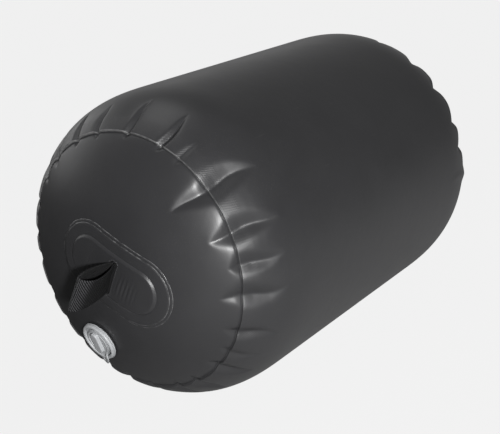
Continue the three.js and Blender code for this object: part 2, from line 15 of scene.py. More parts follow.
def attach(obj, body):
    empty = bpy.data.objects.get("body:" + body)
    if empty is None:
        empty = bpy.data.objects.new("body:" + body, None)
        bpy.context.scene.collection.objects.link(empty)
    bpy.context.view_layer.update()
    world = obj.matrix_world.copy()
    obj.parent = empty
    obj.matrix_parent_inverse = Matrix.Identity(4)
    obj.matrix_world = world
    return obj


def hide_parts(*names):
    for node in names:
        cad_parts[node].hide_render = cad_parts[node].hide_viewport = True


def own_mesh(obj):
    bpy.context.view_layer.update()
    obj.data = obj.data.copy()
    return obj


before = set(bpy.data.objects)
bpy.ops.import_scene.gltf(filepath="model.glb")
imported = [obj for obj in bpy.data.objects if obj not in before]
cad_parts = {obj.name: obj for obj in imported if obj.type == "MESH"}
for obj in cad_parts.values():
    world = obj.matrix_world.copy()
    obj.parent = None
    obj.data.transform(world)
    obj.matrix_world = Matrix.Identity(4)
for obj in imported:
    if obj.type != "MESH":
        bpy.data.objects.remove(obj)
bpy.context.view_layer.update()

bl_info = {
    "name": "Inflatable Boat Fender",
    "version": (1, 0, 0),
    "blender": (4, 5, 0),
    "location": "View3D > Sidebar > Fender",
    "description": "Builds an inflated boat fender with a webbing handle and a valve, and its stage",
    "category": "Object",
}

MM = 0.001
DENT_FADE = 1.32         # how far past its stated reach a gather fades out
DENT_LENS = 1.7          # power of its outline along the cloth
CREASE_ROUNDING = 0.14   # radius of its crease, as a share of its half width
STADIUM_STEPS = 192      # points of a patch's outline
EDGE_ROUNDING = 0.0003   # bevel of a patch's edges

# Gathers round each end seam: angle, then in mm depth (negative for a ridge) and reach along the tube and
# into the disc, and how wide each one is for its depth
NEAR_GATHERS = [
    (59, 6, 44, 10, 0.5), (73, 6, 40, 8, 0.4), (89, 8, 50, 7, 0.38), (107, 8, 46, 7, 0.38),
    (118, 3, 26, 8, 0.6), (134, 13, 58, 44, 1), (154, 11, 54, 24, 1), (168, 9, 50, 12, 0.9),
    (181, 10, 52, 24, 0.9), (197, 7, 45, 16, 0.7), (208, 4, 36, 12, 0.7), (219, 7, 42, 16, 0.7),
]
FAR_GATHERS = [
    (104, 14, 62, 22, 0.9), (120.5, 16, 66, 24, 0.9), (138, 17, 68, 26, 0.9), (152.5, 16, 66, 22, 0.9),
    (164.5, 16, 68, 22, 0.9), (180.5, -5, 96, 20, 2.6),
]
# Middle line of the strap's loop: along the patch, and out from the strap's foot, in mm
NEAR_LEG = [(-1.9, 2), (-3.6, 8), (-6.9, 14.4), (-10.5, 27.7), (-12.6, 41), (-11.6, 51.8)]
LOOP_FOLD = [(-7.2, 60.6), (-1, 64.6), (3.8, 64.2), (6.6, 59.6)]
FAR_LEG = [(8.3, 50.8), (8.9, 38.4), (7.4, 23), (5, 11), (1.9, 2)]
# Points along each foot, as shares of its length
FOOT_SHARES = (1, 0.72, 0.4, 0.18, 0.09)


# Settings


def length(name, description, metres):
    return FloatProperty(name=name, description=description, default=metres, precision=4,
                         unit="LENGTH", subtype="DISTANCE")


def share(name, description, value, low=0.0, high=1.0):
    return FloatProperty(name=name, description=description, default=value, min=low, max=high)


def angle(name, description, degrees):
    return FloatProperty(name=name, description=description, default=math.radians(degrees),
                         unit="ROTATION", subtype="ANGLE")


def colour(name, description, rgb):
    return FloatVectorProperty(name=name, description=description, default=rgb, size=3,
                               min=0.0, max=1.0, subtype="COLOR")


def count(name, description, number):
    return IntProperty(name=name, description=description, default=number, min=1)


class FenderBody(bpy.types.PropertyGroup):
    """Sizes of the inflated body"""

    radius: length("Radius", "Radius of the inflated tube", 0.2286)
    straight_half: length("Straight Half", "Half the length of the plain tube", 0.197)
    end_depth: length("End Depth", "How far a rounded end reaches past the plain tube", 0.1905)
    seam_radius: length("Seam Radius", "Radius of the weld round each end disc", 0.1876)
    seam_depth: length("Seam Depth", "How far that weld lies past the plain tube", 0.1343)
    rest_width: length("Rest Width", "Width of the flat spot under the fender", 0.048)
    hem_thickness: length("Hem Thickness", "Step from the tube's hem down to the disc", 0.0025)
    hem_width: length("Hem Width", "Width of the welded band beside the seam", 0.025)
    pillow_rise: length("Pillow Rise", "How far the cloth swells between two gathers", 0.0006)
    dent_width: length("Dent Width", "Half width of a gather without any depth", 0.0098)
    dent_spread: share("Dent Spread", "Further half width per depth of a gather", 0.85, high=2.0)
    hidden_depth: length("Hidden Depth", "Depth of the gathers on the unseen side", 0.0055)
    gather_pitch: angle("Gather Pitch", "Angle between gathers on the unseen side", 14.3)
    columns: count("Columns", "Faces round the body", 520)


class FenderHandle(bpy.types.PropertyGroup):
    """Sizes of the grab handle and its patches"""

    turn: angle("Turn", "How far the patches' long side turns up from level", 20.3)
    across: length("Across", "Patch centre above the fender's axis", 0.0065)
    along: length("Along", "Patch centre along its long side", -0.0078)
    touch_gap: length("Touch Gap", "Air between two layers", 0.0003)
    patch_thickness: length("Patch Thickness", "Thickness of each patch", 0.0012)
    base_half: FloatVectorProperty(name="Base Half", description="Half sizes of the lower patch",
                                   default=(0.0975, 0.0525), size=2, unit="LENGTH")
    cover_half: FloatVectorProperty(name="Cover Half", description="Half sizes of the upper patch",
                                    default=(0.0935, 0.0485), size=2, unit="LENGTH")
    raised_half: FloatVectorProperty(name="Raised Half", description="Half sizes of its raised middle",
                                     default=(0.075, 0.033), size=2, unit="LENGTH")
    web_width: length("Webbing Width", "Width of the webbing", 0.051)
    web_thickness: length("Webbing Thickness", "Thickness of the webbing", 0.0024)
    foot_length: length("Foot Length", "Length of webbing under the cover on each side", 0.050)
    loop_narrowing: share("Loop Narrowing", "How far the loop closes along its lower edge", 0.18)
    loop_flare: share("Loop Flare", "How far the loop reaches out along its lower edge", 0.05)
    stitch_length: length("Stitch Length", "Length of one stitch beside the slit", 0.0026)
    stitch_pitch: length("Stitch Pitch", "Distance from one stitch to the next", 0.0041)
    glue_radius: length("Glue Radius", "Radius of the glue line round each patch", 0.0005)


class FenderValve(bpy.types.PropertyGroup):
    """Sizes of the inflation valve"""

    radial_place: length("Radial Place", "Distance of the valve from the fender's axis", 0.1222)
    turn: angle("Turn", "Where the valve lies round the end", -72.8)
    flange_radius: length("Flange Radius", "Radius of the valve's flange", 0.0298)
    rim_width: length("Rim Width", "Width of its rounded rim", 0.0052)
    cap_radius: length("Cap Radius", "Radius of the cap", 0.0196)
    grip_length: length("Grip Length", "Length of the bar on the cap", 0.0352)
    grip_width: length("Grip Width", "Width of that bar", 0.0136)
    steps: count("Steps", "Faces round each turned piece", 112)


class FenderLooks(bpy.types.PropertyGroup):
    """Colours of the finishes"""

    cloth: colour("Cloth", "Coated cloth of the body", (0.025, 0.025, 0.0265))
    patch: colour("Patch", "Coated cloth of the patches", (0.024, 0.024, 0.0255))
    webbing: colour("Webbing", "Woven webbing", (0.008, 0.008, 0.0085))
    thread: colour("Thread", "Stitches", (0.05, 0.05, 0.053))
    rubber: colour("Rubber", "Seals", (0.008, 0.008, 0.009))
    plastic: colour("Plastic", "Moulded valve", (0.40, 0.41, 0.42))
    steel: colour("Steel", "Spring wire", (0.55, 0.55, 0.57))
    weave_pitch: length("Weave Pitch", "Distance between threads under the coating", 0.0030)
    web_pitch: length("Webbing Pitch", "Distance between ribs of the webbing", 0.0034)


class FenderStage(bpy.types.PropertyGroup):
    """Camera, lamps and floor"""

    lens: FloatProperty(name="Focal Length", description="Lens for a 36 mm sensor", default=72.913,
                        unit="CAMERA")
    floor: colour("Floor", "Colour of the floor and backdrop", (0.915, 0.915, 0.915))
    floor_bounce: share("Floor Bounce", "How much of that colour the right of the floor gives back", 0.48)
    left_bounce: share("Left Bounce", "How much of it the left of the floor gives back", 0.05)
    key_power: FloatProperty(name="Key Power", description="Small lamp right of the camera", default=92.0,
                             unit="POWER")
    top_power: FloatProperty(name="Top Power", description="Soft box above", default=9.0, unit="POWER")
    left_power: FloatProperty(name="Left Power", description="Soft box left of the camera", default=2.2,
                              unit="POWER")
    side_power: FloatProperty(name="Side Power", description="Wide soft box far left of the camera",
                              default=9.5, unit="POWER")
    fill: share("Fill", "Even light from the right of the view", 0.15, high=2.0)
    shade: share("Shade", "Even light from the left of the view", 0.01, high=2.0)
    backdrop_level: share("Backdrop Level", "How white the backdrop looks", 0.953)
    floor_level: share("Floor Level", "How much of the floor's look is its own light", 0.95)
    backdrop_gloss: share("Backdrop Gloss", "Share of the backdrop behind the fender in gloss", 0.64)
    floor_gloss: share("Floor Gloss", "Share of the floor in gloss, times its bounce", 0.55)


SETTINGS = {"fender_body": FenderBody, "fender_handle": FenderHandle, "fender_valve": FenderValve,
            "fender_looks": FenderLooks, "fender_stage": FenderStage}


# Node trees


class Nodes:
    """Adds nodes to a tree, feeding each input a socket or a plain value."""

    def __init__(self, tree):
        self.tree = tree

    def add(self, kind, inputs=(), **settings):
        node = self.tree.nodes.new(kind)
        for name, value in settings.items():
            setattr(node, name, value)
        for key, value in inputs.items() if isinstance(inputs, dict) else enumerate(inputs):
            self.feed(node.inputs[key], value)
        return node

    def feed(self, socket, value):
        if isinstance(value, bpy.types.NodeSocket):
            self.tree.links.new(value, socket)
        elif value is not None:
            socket.default_value = value

    def math(self, operation, *values):
        return self.add("ShaderNodeMath", values, operation=operation).outputs[0]

    def times(self, product, *others):
        for other in others:
            product = self.math("MULTIPLY", product, other)
        return product

    def vector(self, operation, *values):
        return self.add("ShaderNodeVectorMath", values, operation=operation).outputs[0]

    def xyz(self, x, y, z):
        return self.add("ShaderNodeCombineXYZ", (x, y, z)).outputs[0]

    def split(self, vector):
        return self.add("ShaderNodeSeparateXYZ", (vector,)).outputs

    def ramp(self, value, low, high, to_low=0.0, to_high=1.0):
        return self.add("ShaderNodeMapRange", (value, low, high, to_low, to_high)).outputs[0]

    def mix(self, factor, first, second):
        node = self.add("ShaderNodeMix", {0: factor}, data_type="RGBA")
        self.feed(node.inputs[6], first)
        self.feed(node.inputs[7], second)
        return node.outputs[2]

    def noise(self, vector, scale, detail=4.0, roughness=0.5):
        node = self.add("ShaderNodeTexNoise", {"Vector": vector, "Scale": scale, "Detail": detail,
                                               "Roughness": roughness})
        return node.outputs[0]

    def dot(self, first, second):
        return self.add("ShaderNodeVectorMath", (first, second), operation="DOT_PRODUCT").outputs["Value"]

    def attribute(self, name):
        node = self.add("ShaderNodeAttribute", attribute_name=name, attribute_type="GEOMETRY")
        return node.outputs["Fac"]

    def object_place(self):
        return self.add("ShaderNodeTexCoord").outputs["Object"]

    def cloth_place(self):
        return self.add("ShaderNodeUVMap", uv_map="UVMap").outputs[0]

    def dress(self, shader, colour, roughness, height=None):
        """Feeds a shader its colour and roughness, and its relief as a height in metres."""
        self.feed(shader.inputs["Base Color"], colour)
        self.feed(shader.inputs["Roughness"], roughness)
        if height is not None:
            relief = self.add("ShaderNodeBump", {"Strength": 1.0, "Distance": 1.0, "Height": height})
            self.feed(shader.inputs["Normal"], relief.outputs["Normal"])

    def group(self, tree, **inputs):
        node = self.add("ShaderNodeGroup" if tree.bl_idname == "ShaderNodeTree" else "GeometryNodeGroup")
        node.node_tree = tree
        for name, value in inputs.items():
            self.feed(node.inputs[name.replace("_", " ")], value)
        return node.outputs


def new_tree(name, kind, inputs, *outputs):
    """A node group whose inputs take a number, or are of the kind that their own name says."""
    tree = bpy.data.node_groups.new(name, kind)
    for label, number in inputs.items():
        socket = label if number is None else "Int" if isinstance(number, int) else "Float"
        item = tree.interface.new_socket(label, in_out="INPUT", socket_type="NodeSocket" + socket)
        if number is not None:
            item.default_value = number
    for label in outputs:
        socket = "Geometry" if label == "Geometry" else "Float"
        tree.interface.new_socket(label, in_out="OUTPUT", socket_type="NodeSocket" + socket)
    nodes = Nodes(tree)
    return nodes, nodes.add("NodeGroupInput").outputs, nodes.add("NodeGroupOutput").inputs


def end_tree(nodes, out, geometry, material):
    """Smooths what a geometry tree made, realises it and gives it its material."""
    smooth = nodes.add("GeometryNodeSetShadeSmooth", {"Geometry": geometry}).outputs[0]
    real = nodes.add("GeometryNodeRealizeInstances", {"Geometry": smooth}).outputs[0]
    dressed = nodes.add("GeometryNodeSetMaterial", {"Geometry": real, "Material": material})
    nodes.feed(out["Geometry"], dressed.outputs[0])
    return nodes.tree


def run_tree(piece, tree, **values):
    """Runs a geometry tree on a piece and keeps the result as its plain mesh."""
    modifier = piece.modifiers.new(tree.name, "NODES")
    modifier.node_group = tree
    for item in tree.interface.items_tree:
        key = item.name.replace(" ", "_")
        if item.in_out == "INPUT" and key in values:
            modifier[item.identifier] = values.pop(key)
    if values:
        raise ValueError(f"{tree.name} has no input named {sorted(values)}")
    bpy.context.view_layer.update()
    made = bpy.data.meshes.new_from_object(piece.evaluated_get(bpy.context.evaluated_depsgraph_get()))
    piece.modifiers.clear()
    source, piece.data = piece.data, made
    name = source.name
    bpy.data.meshes.remove(source)
    made.name = name
    if not made.vertices:
        raise ValueError(f"{tree.name} made nothing for {piece.name}")


# Meshes


def new_piece(name, points, faces, edges=()):
    mesh = bpy.data.meshes.new(name)
    mesh.from_pydata([tuple(p) for p in np.asarray(points, float)], edges, faces)
    piece = bpy.data.objects.new(name, mesh)
    bpy.context.scene.collection.objects.link(piece)
    return piece


def write_values(mesh, name, values):
    """Gives each point of a mesh its value of a named attribute."""
    mesh.attributes.new(name, "FLOAT", "POINT").data.foreach_set("value", values.astype(np.float32))


def read_points(mesh):
    place = np.zeros(len(mesh.vertices) * 3)
    mesh.vertices.foreach_get("co", place)
    return place.reshape(-1, 3)


def read_corners(mesh):
    """The point that each corner of each face stands on."""
    corners = np.zeros(len(mesh.loops), int)
    mesh.loops.foreach_get("vertex_index", corners)
    return corners


def write_uv(mesh, uv):
    layer = mesh.uv_layers.get("UVMap") or mesh.uv_layers.new(name="UVMap")
    layer.data.foreach_set("uv", uv.astype(np.float32).ravel())


def join_parts(parts):
    """One list of points and faces from several."""
    points, faces = [], []
    for part_points, part_faces in parts:
        start = len(points)
        points.extend(map(tuple, part_points))
        faces.extend([tuple(i + start for i in face) for face in part_faces])
    return points, faces


def loft(rings, closed=False):
    """Points and faces of a skin through equal rings: open ends are capped, a closed stack joins up."""
    rings = [np.asarray(ring, float) for ring in rings]
    size = len(rings[0])
    points = np.concatenate(rings)
    faces = []
    for k in range(len(rings) if closed else len(rings) - 1):
        a, b = k * size, ((k + 1) % len(rings)) * size
        faces += [(a + i, a + (i + 1) % size, b + (i + 1) % size, b + i) for i in range(size)]
    if not closed:
        last = len(points) - size
        faces.append(tuple(range(size))[::-1])
        faces.append(tuple(range(last, last + size)))
    return points, faces


def lathe(profile, steps):
    """Points and faces of a closed profile of (radius, level) turned about Z."""
    turns = np.linspace(0, 2 * math.pi, steps, endpoint=False)
    rings = [np.stack([r * np.cos(turns), r * np.sin(turns), np.full(steps, z)], 1) for r, z in profile]
    return loft(rings, closed=True)


def ring_block(inner, outer, bottom, top, centre, span, steps=10):
    """Points and faces of a block in a sector between two radii."""
    turns = np.radians(np.linspace(centre - span / 2, centre + span / 2, steps + 1))
    rings = [[(r * math.cos(t), r * math.sin(t), z) for r, z in
              ((inner, bottom), (outer, bottom), (outer, top), (inner, top))] for t in turns]
    return loft(rings)


def rounded_profile(corners, radius, steps=4):
    """A closed profile with its corners rounded by a radius, or less where a side is short."""
    corners = [np.array(c, float) for c in corners]
    profile = []
    for before, corner, after in zip(corners[-1:] + corners[:-1], corners, corners[1:] + corners[:1]):
        back, ahead = before - corner, after - corner
        cut = min(radius, 0.45 * np.linalg.norm(back), 0.45 * np.linalg.norm(ahead))
        start = corner + back / np.linalg.norm(back) * cut
        end = corner + ahead / np.linalg.norm(ahead) * cut
        for k in range(steps + 1):
            t = k / steps
            profile.append(tuple((1 - t) ** 2 * start + 2 * t * (1 - t) * corner + t * t * end))
    return profile


def recalculated(piece):
    """Merges doubles and points every face outwards."""
    work = bmesh.new()
    work.from_mesh(piece.data)
    bmesh.ops.remove_doubles(work, verts=work.verts, dist=1e-6)
    bmesh.ops.dissolve_degenerate(work, edges=work.edges, dist=1e-7)
    bmesh.ops.recalc_face_normals(work, faces=work.faces)
    work.to_mesh(piece.data)
    work.free()


def shaded(piece, sharp_angle=40):
    """Smooth shading with edges kept sharp past an angle."""
    piece.data.shade_smooth()
    work = bmesh.new()
    work.from_mesh(piece.data)
    limit = math.radians(sharp_angle)
    for edge in work.edges:
        if len(edge.link_faces) == 2 and edge.calc_face_angle(0) > limit:
            edge.smooth = False
    work.to_mesh(piece.data)
    work.free()


def finish_piece(piece, body, slot, *nodes):
    """Carries a finished piece on its body and hides the imported parts that it stands for."""
    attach(piece, body)
    if nodes:
        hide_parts(*nodes)


def material_of(name):
    material = bpy.data.materials.get(name)
    if material is None:
        raise ValueError(f"material {name} is not made yet")
    return material


def give_material(piece, name):
    piece.data.materials.clear()
    piece.data.materials.append(material_of(name))


# Shape of the body


def fullness(body):
    """Power of the rounded end's curve that carries it through its seam."""
    return math.log(1 - (body.seam_radius / body.radius) ** 2) / math.log(body.seam_depth / body.end_depth)


def axis_height(body):
    return math.sqrt(body.radius**2 - (body.rest_width / 2) ** 2)


def end_level(body, radius):
    """Axial distance of a rounded end's surface from the fender's middle."""
    part = np.clip(np.asarray(radius, float) / body.radius, 0, 1)
    return body.straight_half + body.end_depth * (1 - part**2) ** (1 / fullness(body))


def end_profile(body):
    """Lean and arc from the seam at close steps down a rounded end, from its tip to the tube."""
    lean = math.pi / 2 * np.sin(np.linspace(0, math.pi / 2, 6001))
    radius = body.radius * np.sin(lean)
    level = body.end_depth * np.cos(lean) ** (2 / fullness(body))
    arc = np.concatenate([[0], np.cumsum(np.hypot(np.diff(radius), np.diff(level)))])
    return lean, arc - np.interp(body.seam_radius, radius, arc)


def end_rows(body):
    """Arc places of the rows on one end, from beside its tip to the tube, close together by the seam."""
    lean, arc = end_profile(body)
    hem, step, first_fine, last_fine = body.hem_width, 2.6 * MM, -62 * MM, 76 * MM
    seam = np.array([-2.2, -1.3, -0.8, -0.35, 0, 0.5, 1.3]) * MM
    hem_edge = np.array([-0.9, 0, 0.7, 1.6]) * MM
    rows = np.concatenate([
        np.linspace(arc[0], first_fine, 21)[1:-1], np.arange(first_fine, -3 * MM, step), seam,
        np.arange(3.4 * MM, hem - 2 * MM, step), hem + hem_edge,
        np.arange(hem + 3.8 * MM, last_fine, step), np.linspace(last_fine, arc[-1], 11)[1:-1]])
    return rows, np.interp(rows, arc, lean)


def all_gathers(body, seen):
    """The measured gathers, and evenly irregular ones round the side that can't be seen."""
    first, last = seen[0][0], seen[-1][0]
    span = 360 - (last - first)
    hidden = round(span / math.degrees(body.gather_pitch)) - 1
    rest = [(last + span * k / (hidden + 1) + 1.6 * math.sin(2.3 * k),
             body.hidden_depth / MM * (1 + 0.3 * math.sin(1.7 * k)), 50 - 4 * math.sin(k), 14, 0.7)
            for k in range(1, hidden + 1)]
    return [*seen, *rest]


def column_turns(body, gathers):
    """Angles of the columns, closer together at the gathers."""
    crowding, crowded_width = 1.9, 2.4
    fine = np.linspace(0, 360, 7201)
    density = np.ones_like(fine)
    for place, *_ in gathers:
        away = (fine - place + 180) % 360 - 180
        density += crowding * np.exp(-((away / crowded_width) ** 2))
    run = np.concatenate([[0], np.cumsum((density[1:] + density[:-1]) / 2)])
    return np.interp(np.arange(body.columns) / body.columns * run[-1], run, fine)


def gather_rise(body, gathers, turns, arcs):
    """How far the cloth stands off its plain form: lens-shaped dents with a crease down the middle.

    On the disc a dent is narrower, rounder and shallower than on the tube."""
    spread = np.where(arcs > 0, 50 * MM, 24 * MM)
    rise = body.pillow_rise * np.exp(-1.3 * (arcs / spread) ** 2)
    narrow = np.interp(arcs, [-10 * MM, 0], [0.8, 1])
    soft = np.interp(arcs, [-12 * MM, 0], [0.4, 0.26])
    shallow = np.interp(arcs, [-14 * MM, 14 * MM], [0.56, 1])
    for place, depth, on_tube, on_disc, breadth in gathers:
        reach = np.where(arcs > 0, on_tube, on_disc) * MM * DENT_FADE
        lens = np.clip(1 - (np.abs(arcs) / reach) ** DENT_LENS, 0, 1)
        full = (body.dent_width + body.dent_spread * depth * MM) * breadth
        half = full * narrow * (0.1 + 0.9 * lens**0.8)
        sway = 0.7 * np.sin(arcs / (14 * MM) + place) + 0.5 * np.sin(place) * arcs / (20 * MM)
        across = np.radians((turns - place - sway + 180) % 360 - 180) * body.seam_radius
        flank = 1 - np.sqrt((across / half) ** 2 + CREASE_ROUNDING**2)
        valley = (flank + np.sqrt(flank**2 + soft**2)) / 2
        rise = rise - (depth * MM + body.pillow_rise) * lens**1.15 * valley * shallow
    return rise


def hem_lift(body, arcs):
    """Height of the tube's hem over the disc: a step up at the seam and a low one at the band's edge."""
    places = np.array([-9, -2.2, -1.3, -0.8, -0.35, 0, 1.3]) * MM
    lifts = [0, -0.15, -0.45, -0.5, 0.25, 1, 1.06]
    band = [body.hem_width - 0.9 * MM, body.hem_width + 0.7 * MM, body.hem_width + 12 * MM]
    return body.hem_thickness * np.interp(arcs, [*places, *band], [*lifts, 0.3, 0.22, 0])


def make_inflated_tree():
    """Geometry tree that blows a net of turns and leans up into the fender's form."""
    nodes, given, out = new_tree(
        "inflated_form", "GeometryNodeTree",
        {"Geometry": None, "Radius": 0.2286, "Straight Half": 0.197, "End Depth": 0.1905, "Fullness": 3.2,
         "Axis Height": 0.227, "Material": None}, "Geometry")

    def read(name):
        return nodes.add("GeometryNodeInputNamedAttribute", (name,), data_type="FLOAT").outputs[0]

    turn, lean, along, rise = (read(name) for name in ("turn", "lean", "along", "rise"))
    depth_share = nodes.math("POWER", nodes.math("MAXIMUM", nodes.math("COSINE", lean), 0.0),
                             nodes.math("DIVIDE", 2.0, given["Fullness"]))
    end = nodes.math("SIGN", along)
    level = nodes.math("ADD", nodes.times(along, given["Straight Half"]),
                       nodes.times(depth_share, given["End Depth"], end))
    radius = nodes.times(given["Radius"], nodes.math("SINE", lean))
    power = nodes.math("SUBTRACT", given["Fullness"], 1.0)
    axial = nodes.times(nodes.math("DIVIDE", given["Fullness"], given["End Depth"]),
                        nodes.math("POWER", depth_share, power), end)
    radial = nodes.math("DIVIDE", nodes.times(radius, 2.0), nodes.times(given["Radius"], given["Radius"]))
    outward = nodes.split(nodes.vector("NORMALIZE", nodes.xyz(axial, radial, 0.0)))
    level = nodes.math("MULTIPLY_ADD", outward[0], rise, level)
    radius = nodes.math("MULTIPLY_ADD", outward[1], rise, radius)
    side = nodes.times(radius, nodes.math("COSINE", turn))
    height = nodes.times(radius, nodes.math("SINE", turn))
    height = nodes.math("MAXIMUM", nodes.math("ADD", height, given["Axis Height"]), 0.0)
    placed = nodes.add("GeometryNodeSetPosition",
                       {"Geometry": given["Geometry"], "Position": nodes.xyz(level, side, height)})
    return end_tree(nodes, out, placed.outputs[0], given["Material"])


def body_net(body):
    """The body's net: faces, and for each point its turn, lean, place along the tube, rise and band."""
    near, far = all_gathers(body, NEAR_GATHERS), all_gathers(body, FAR_GATHERS)
    near_turns, far_turns = column_turns(body, near), column_turns(body, far)
    arcs, leans = end_rows(body)
    tube = np.linspace(-1, 1, 12)
    rows = []
    for arc, lean in zip(arcs, leans):
        rise = gather_rise(body, near, near_turns, np.full(body.columns, arc)) + hem_lift(body, arc)
        rows.append((near_turns, lean, -1, rise, arc))
    for along in tube[1:-1]:
        blend = (along + 1) / 2
        turns = near_turns * (1 - blend) + far_turns * blend
        rows.append((turns, math.pi / 2, along, np.zeros(body.columns), 1.0))
    for arc, lean in zip(arcs[::-1], leans[::-1]):
        rise = gather_rise(body, far, far_turns, np.full(body.columns, arc)) + hem_lift(body, arc)
        rows.append((far_turns, lean, 1, rise, arc))
    net = {"turn": [], "lean": [], "along": [], "rise": [], "arc": []}
    for turns, lean, along, rise, arc in rows:
        net["turn"].append(np.radians(turns))
        net["rise"].append(rise)
        for name, value in (("lean", lean), ("along", along), ("arc", arc)):
            net[name].append(np.full(body.columns, float(value)))
    net = {name: np.concatenate(values) for name, values in net.items()}
    poles = {"turn": (0, 0), "lean": (0, 0), "along": (-1, 1), "rise": (0, 0), "arc": (-1, -1)}
    net = {name: np.concatenate([values, poles[name]]) for name, values in net.items()}
    size, last = body.columns, (len(rows) - 1) * body.columns
    faces = []
    for k in range(len(rows) - 1):
        a, b = k * size, (k + 1) * size
        faces += [(a + i, b + i, b + (i + 1) % size, a + (i + 1) % size) for i in range(size)]
    tip, tail = len(rows) * size, len(rows) * size + 1
    faces += [(tip, i, (i + 1) % size) for i in range(size)]
    faces += [(tail, last + (i + 1) % size, last + i) for i in range(size)]
    return net, faces


def write_cloth_uv(body, mesh, cloth_turn):
    """Cloth coordinates in metres: round and along on the tube, flat across on the discs."""
    place, corners = read_points(mesh), read_corners(mesh)
    starts = np.zeros(len(mesh.polygons), int)
    counts = np.zeros(len(mesh.polygons), int)
    mesh.polygons.foreach_get("loop_start", starts)
    mesh.polygons.foreach_get("loop_total", counts)
    owner = np.repeat(np.arange(len(mesh.polygons)), counts)
    place -= (0, 0, axis_height(body))
    middle = np.add.reduceat(place[corners], starts) / counts[:, None]
    inside_seam = body.seam_radius - 0.4 * MM
    on_disc = np.hypot(middle[:, 1], middle[:, 2]) < inside_seam
    on_disc &= np.abs(middle[:, 0]) > body.straight_half
    turn = np.arctan2(place[:, 2], place[:, 1])[corners]
    middle_turn = np.arctan2(middle[:, 2], middle[:, 1])[owner]
    turn = middle_turn + (turn - middle_turn + math.pi) % (2 * math.pi) - math.pi
    tube_uv = np.stack([turn * body.radius, place[corners, 0]], 1)
    cos, sin = math.cos(cloth_turn), math.sin(cloth_turn)
    y, z = place[corners, 1], place[corners, 2]
    disc_uv = np.stack([cos * y + sin * z, cos * z - sin * y], 1)
    write_uv(mesh, np.where(on_disc[owner][:, None], disc_uv, tube_uv))


# Valve's place


def valve_frame(body, valve):
    """Matrix from the valve's own axes, Z outwards, to the fender."""
    spoke = Vector((0, math.cos(valve.turn), math.sin(valve.turn)))
    place = spoke * valve.radial_place
    step = 1e-5
    rise = end_level(body, valve.radial_place - step) - end_level(body, valve.radial_place + step)
    normal = (Vector((-1, 0, 0)) + spoke * (float(rise) / (2 * step))).normalized()
    matrix = Vector((0, 0, 1)).rotation_difference(normal).to_matrix().to_4x4()
    level = float(end_level(body, valve.radial_place))
    matrix.translation = (-level, place.y, place.z + axis_height(body))
    return matrix


def seat_valve(body, valve, mesh):
    """Presses the cloth flat under the valve and turns it in to the pocket for stem and nut."""
    inverse = valve_frame(body, valve).inverted()
    seat, level, neck = 0.033, -0.0015, 0.0204
    nut_room, cloth_bottom, nut_bottom, bottom = 0.0269, -0.0042, -0.0118, -0.026
    work = bmesh.new()
    work.from_mesh(mesh)
    near = [v for v in work.verts if (inverse @ v.co).length < 0.05]
    back = inverse.inverted()
    for vert in near:
        own = inverse @ vert.co
        radius = math.hypot(own.x, own.y)
        if radius < seat:
            own.z = min(own.z, level)
            vert.co = back @ own
    doomed = {f for v in near for f in v.link_faces
              if all(math.hypot(*(inverse @ w.co).xy) < neck for w in f.verts)}
    bmesh.ops.delete(work, geom=list(doomed), context="FACES")
    edge = [e for e in work.edges if e.is_boundary]
    for radius, depth in ((neck, level), (neck, cloth_bottom), (nut_room, cloth_bottom),
                          (nut_room, nut_bottom), (neck, nut_bottom), (neck, bottom)):
        if depth != level:
            grown = bmesh.ops.extrude_edge_only(work, edges=edge)["geom"]
            edge = [g for g in grown if isinstance(g, bmesh.types.BMEdge) and g.is_boundary]
        for vert in {v for e in edge for v in e.verts}:
            own = inverse @ vert.co
            flat = Vector((own.x, own.y)).normalized() * radius
            vert.co = back @ Vector((flat.x, flat.y, depth))
    bmesh.ops.holes_fill(work, edges=edge)
    bmesh.ops.triangulate(work, faces=[f for f in work.faces if len(f.verts) > 4])
    work.to_mesh(mesh)
    work.free()


# Shape of the handle


def rounded_outline(half, corner, steps=STADIUM_STEPS):
    """A rounded rectangle's outline at equal steps, starting at its +along side."""
    a, b = half[0] - corner, half[1] - corner
    bend = math.pi / 2 * corner
    quarter = b + bend + a

    def first_quadrant(run):
        if run <= b:
            return half[0], run
        if run <= b + bend:
            turn = (run - b) / corner
            return a + corner * math.cos(turn), b + corner * math.sin(turn)
        return a - (run - b - bend), half[1]

    points = []
    for i in range(steps):
        quadrant, into = divmod(4 * i / steps, 1)
        x, y = first_quadrant(quarter * (1 - into if quadrant % 2 else into))
        points.append((-x if quadrant in (1, 2) else x, -y if quadrant >= 2 else y))
    return np.array(points)


def stadium(half, grow=0.0, steps=STADIUM_STEPS):
    """Outline of a rectangle with half-round ends, grown all round."""
    return rounded_outline(np.array(half) + grow, half[1] + grow, steps)


def flat_ring(outline, height):
    return np.column_stack([outline, np.broadcast_to(height, len(outline))])


def closed_line(name, outline, height):
    """A piece of edges alone, for a tree that follows them."""
    size = len(outline)
    return new_piece(name, flat_ring(outline, height), [], [(i, (i + 1) % size) for i in range(size)])


def layer_levels(handle):
    """Heights over the body: the base's top, and the cover's bottom and top where flat and where raised."""
    gap, sheet = handle.touch_gap, handle.patch_thickness
    base_top = gap + sheet
    raised_bottom = base_top + gap + handle.web_thickness + gap
    return base_top, base_top + gap, base_top + gap + sheet, raised_bottom, raised_bottom + sheet


def slit_size(handle):
    """Half sizes of the cover's slit, its corner radius and its centre."""
    slack, fold = 0.0015, 0.0019
    half = (handle.web_thickness + slack + fold, handle.web_width / 2 + slack)
    return half, half[0] * 0.8, np.array((-0.0012, -0.0015))


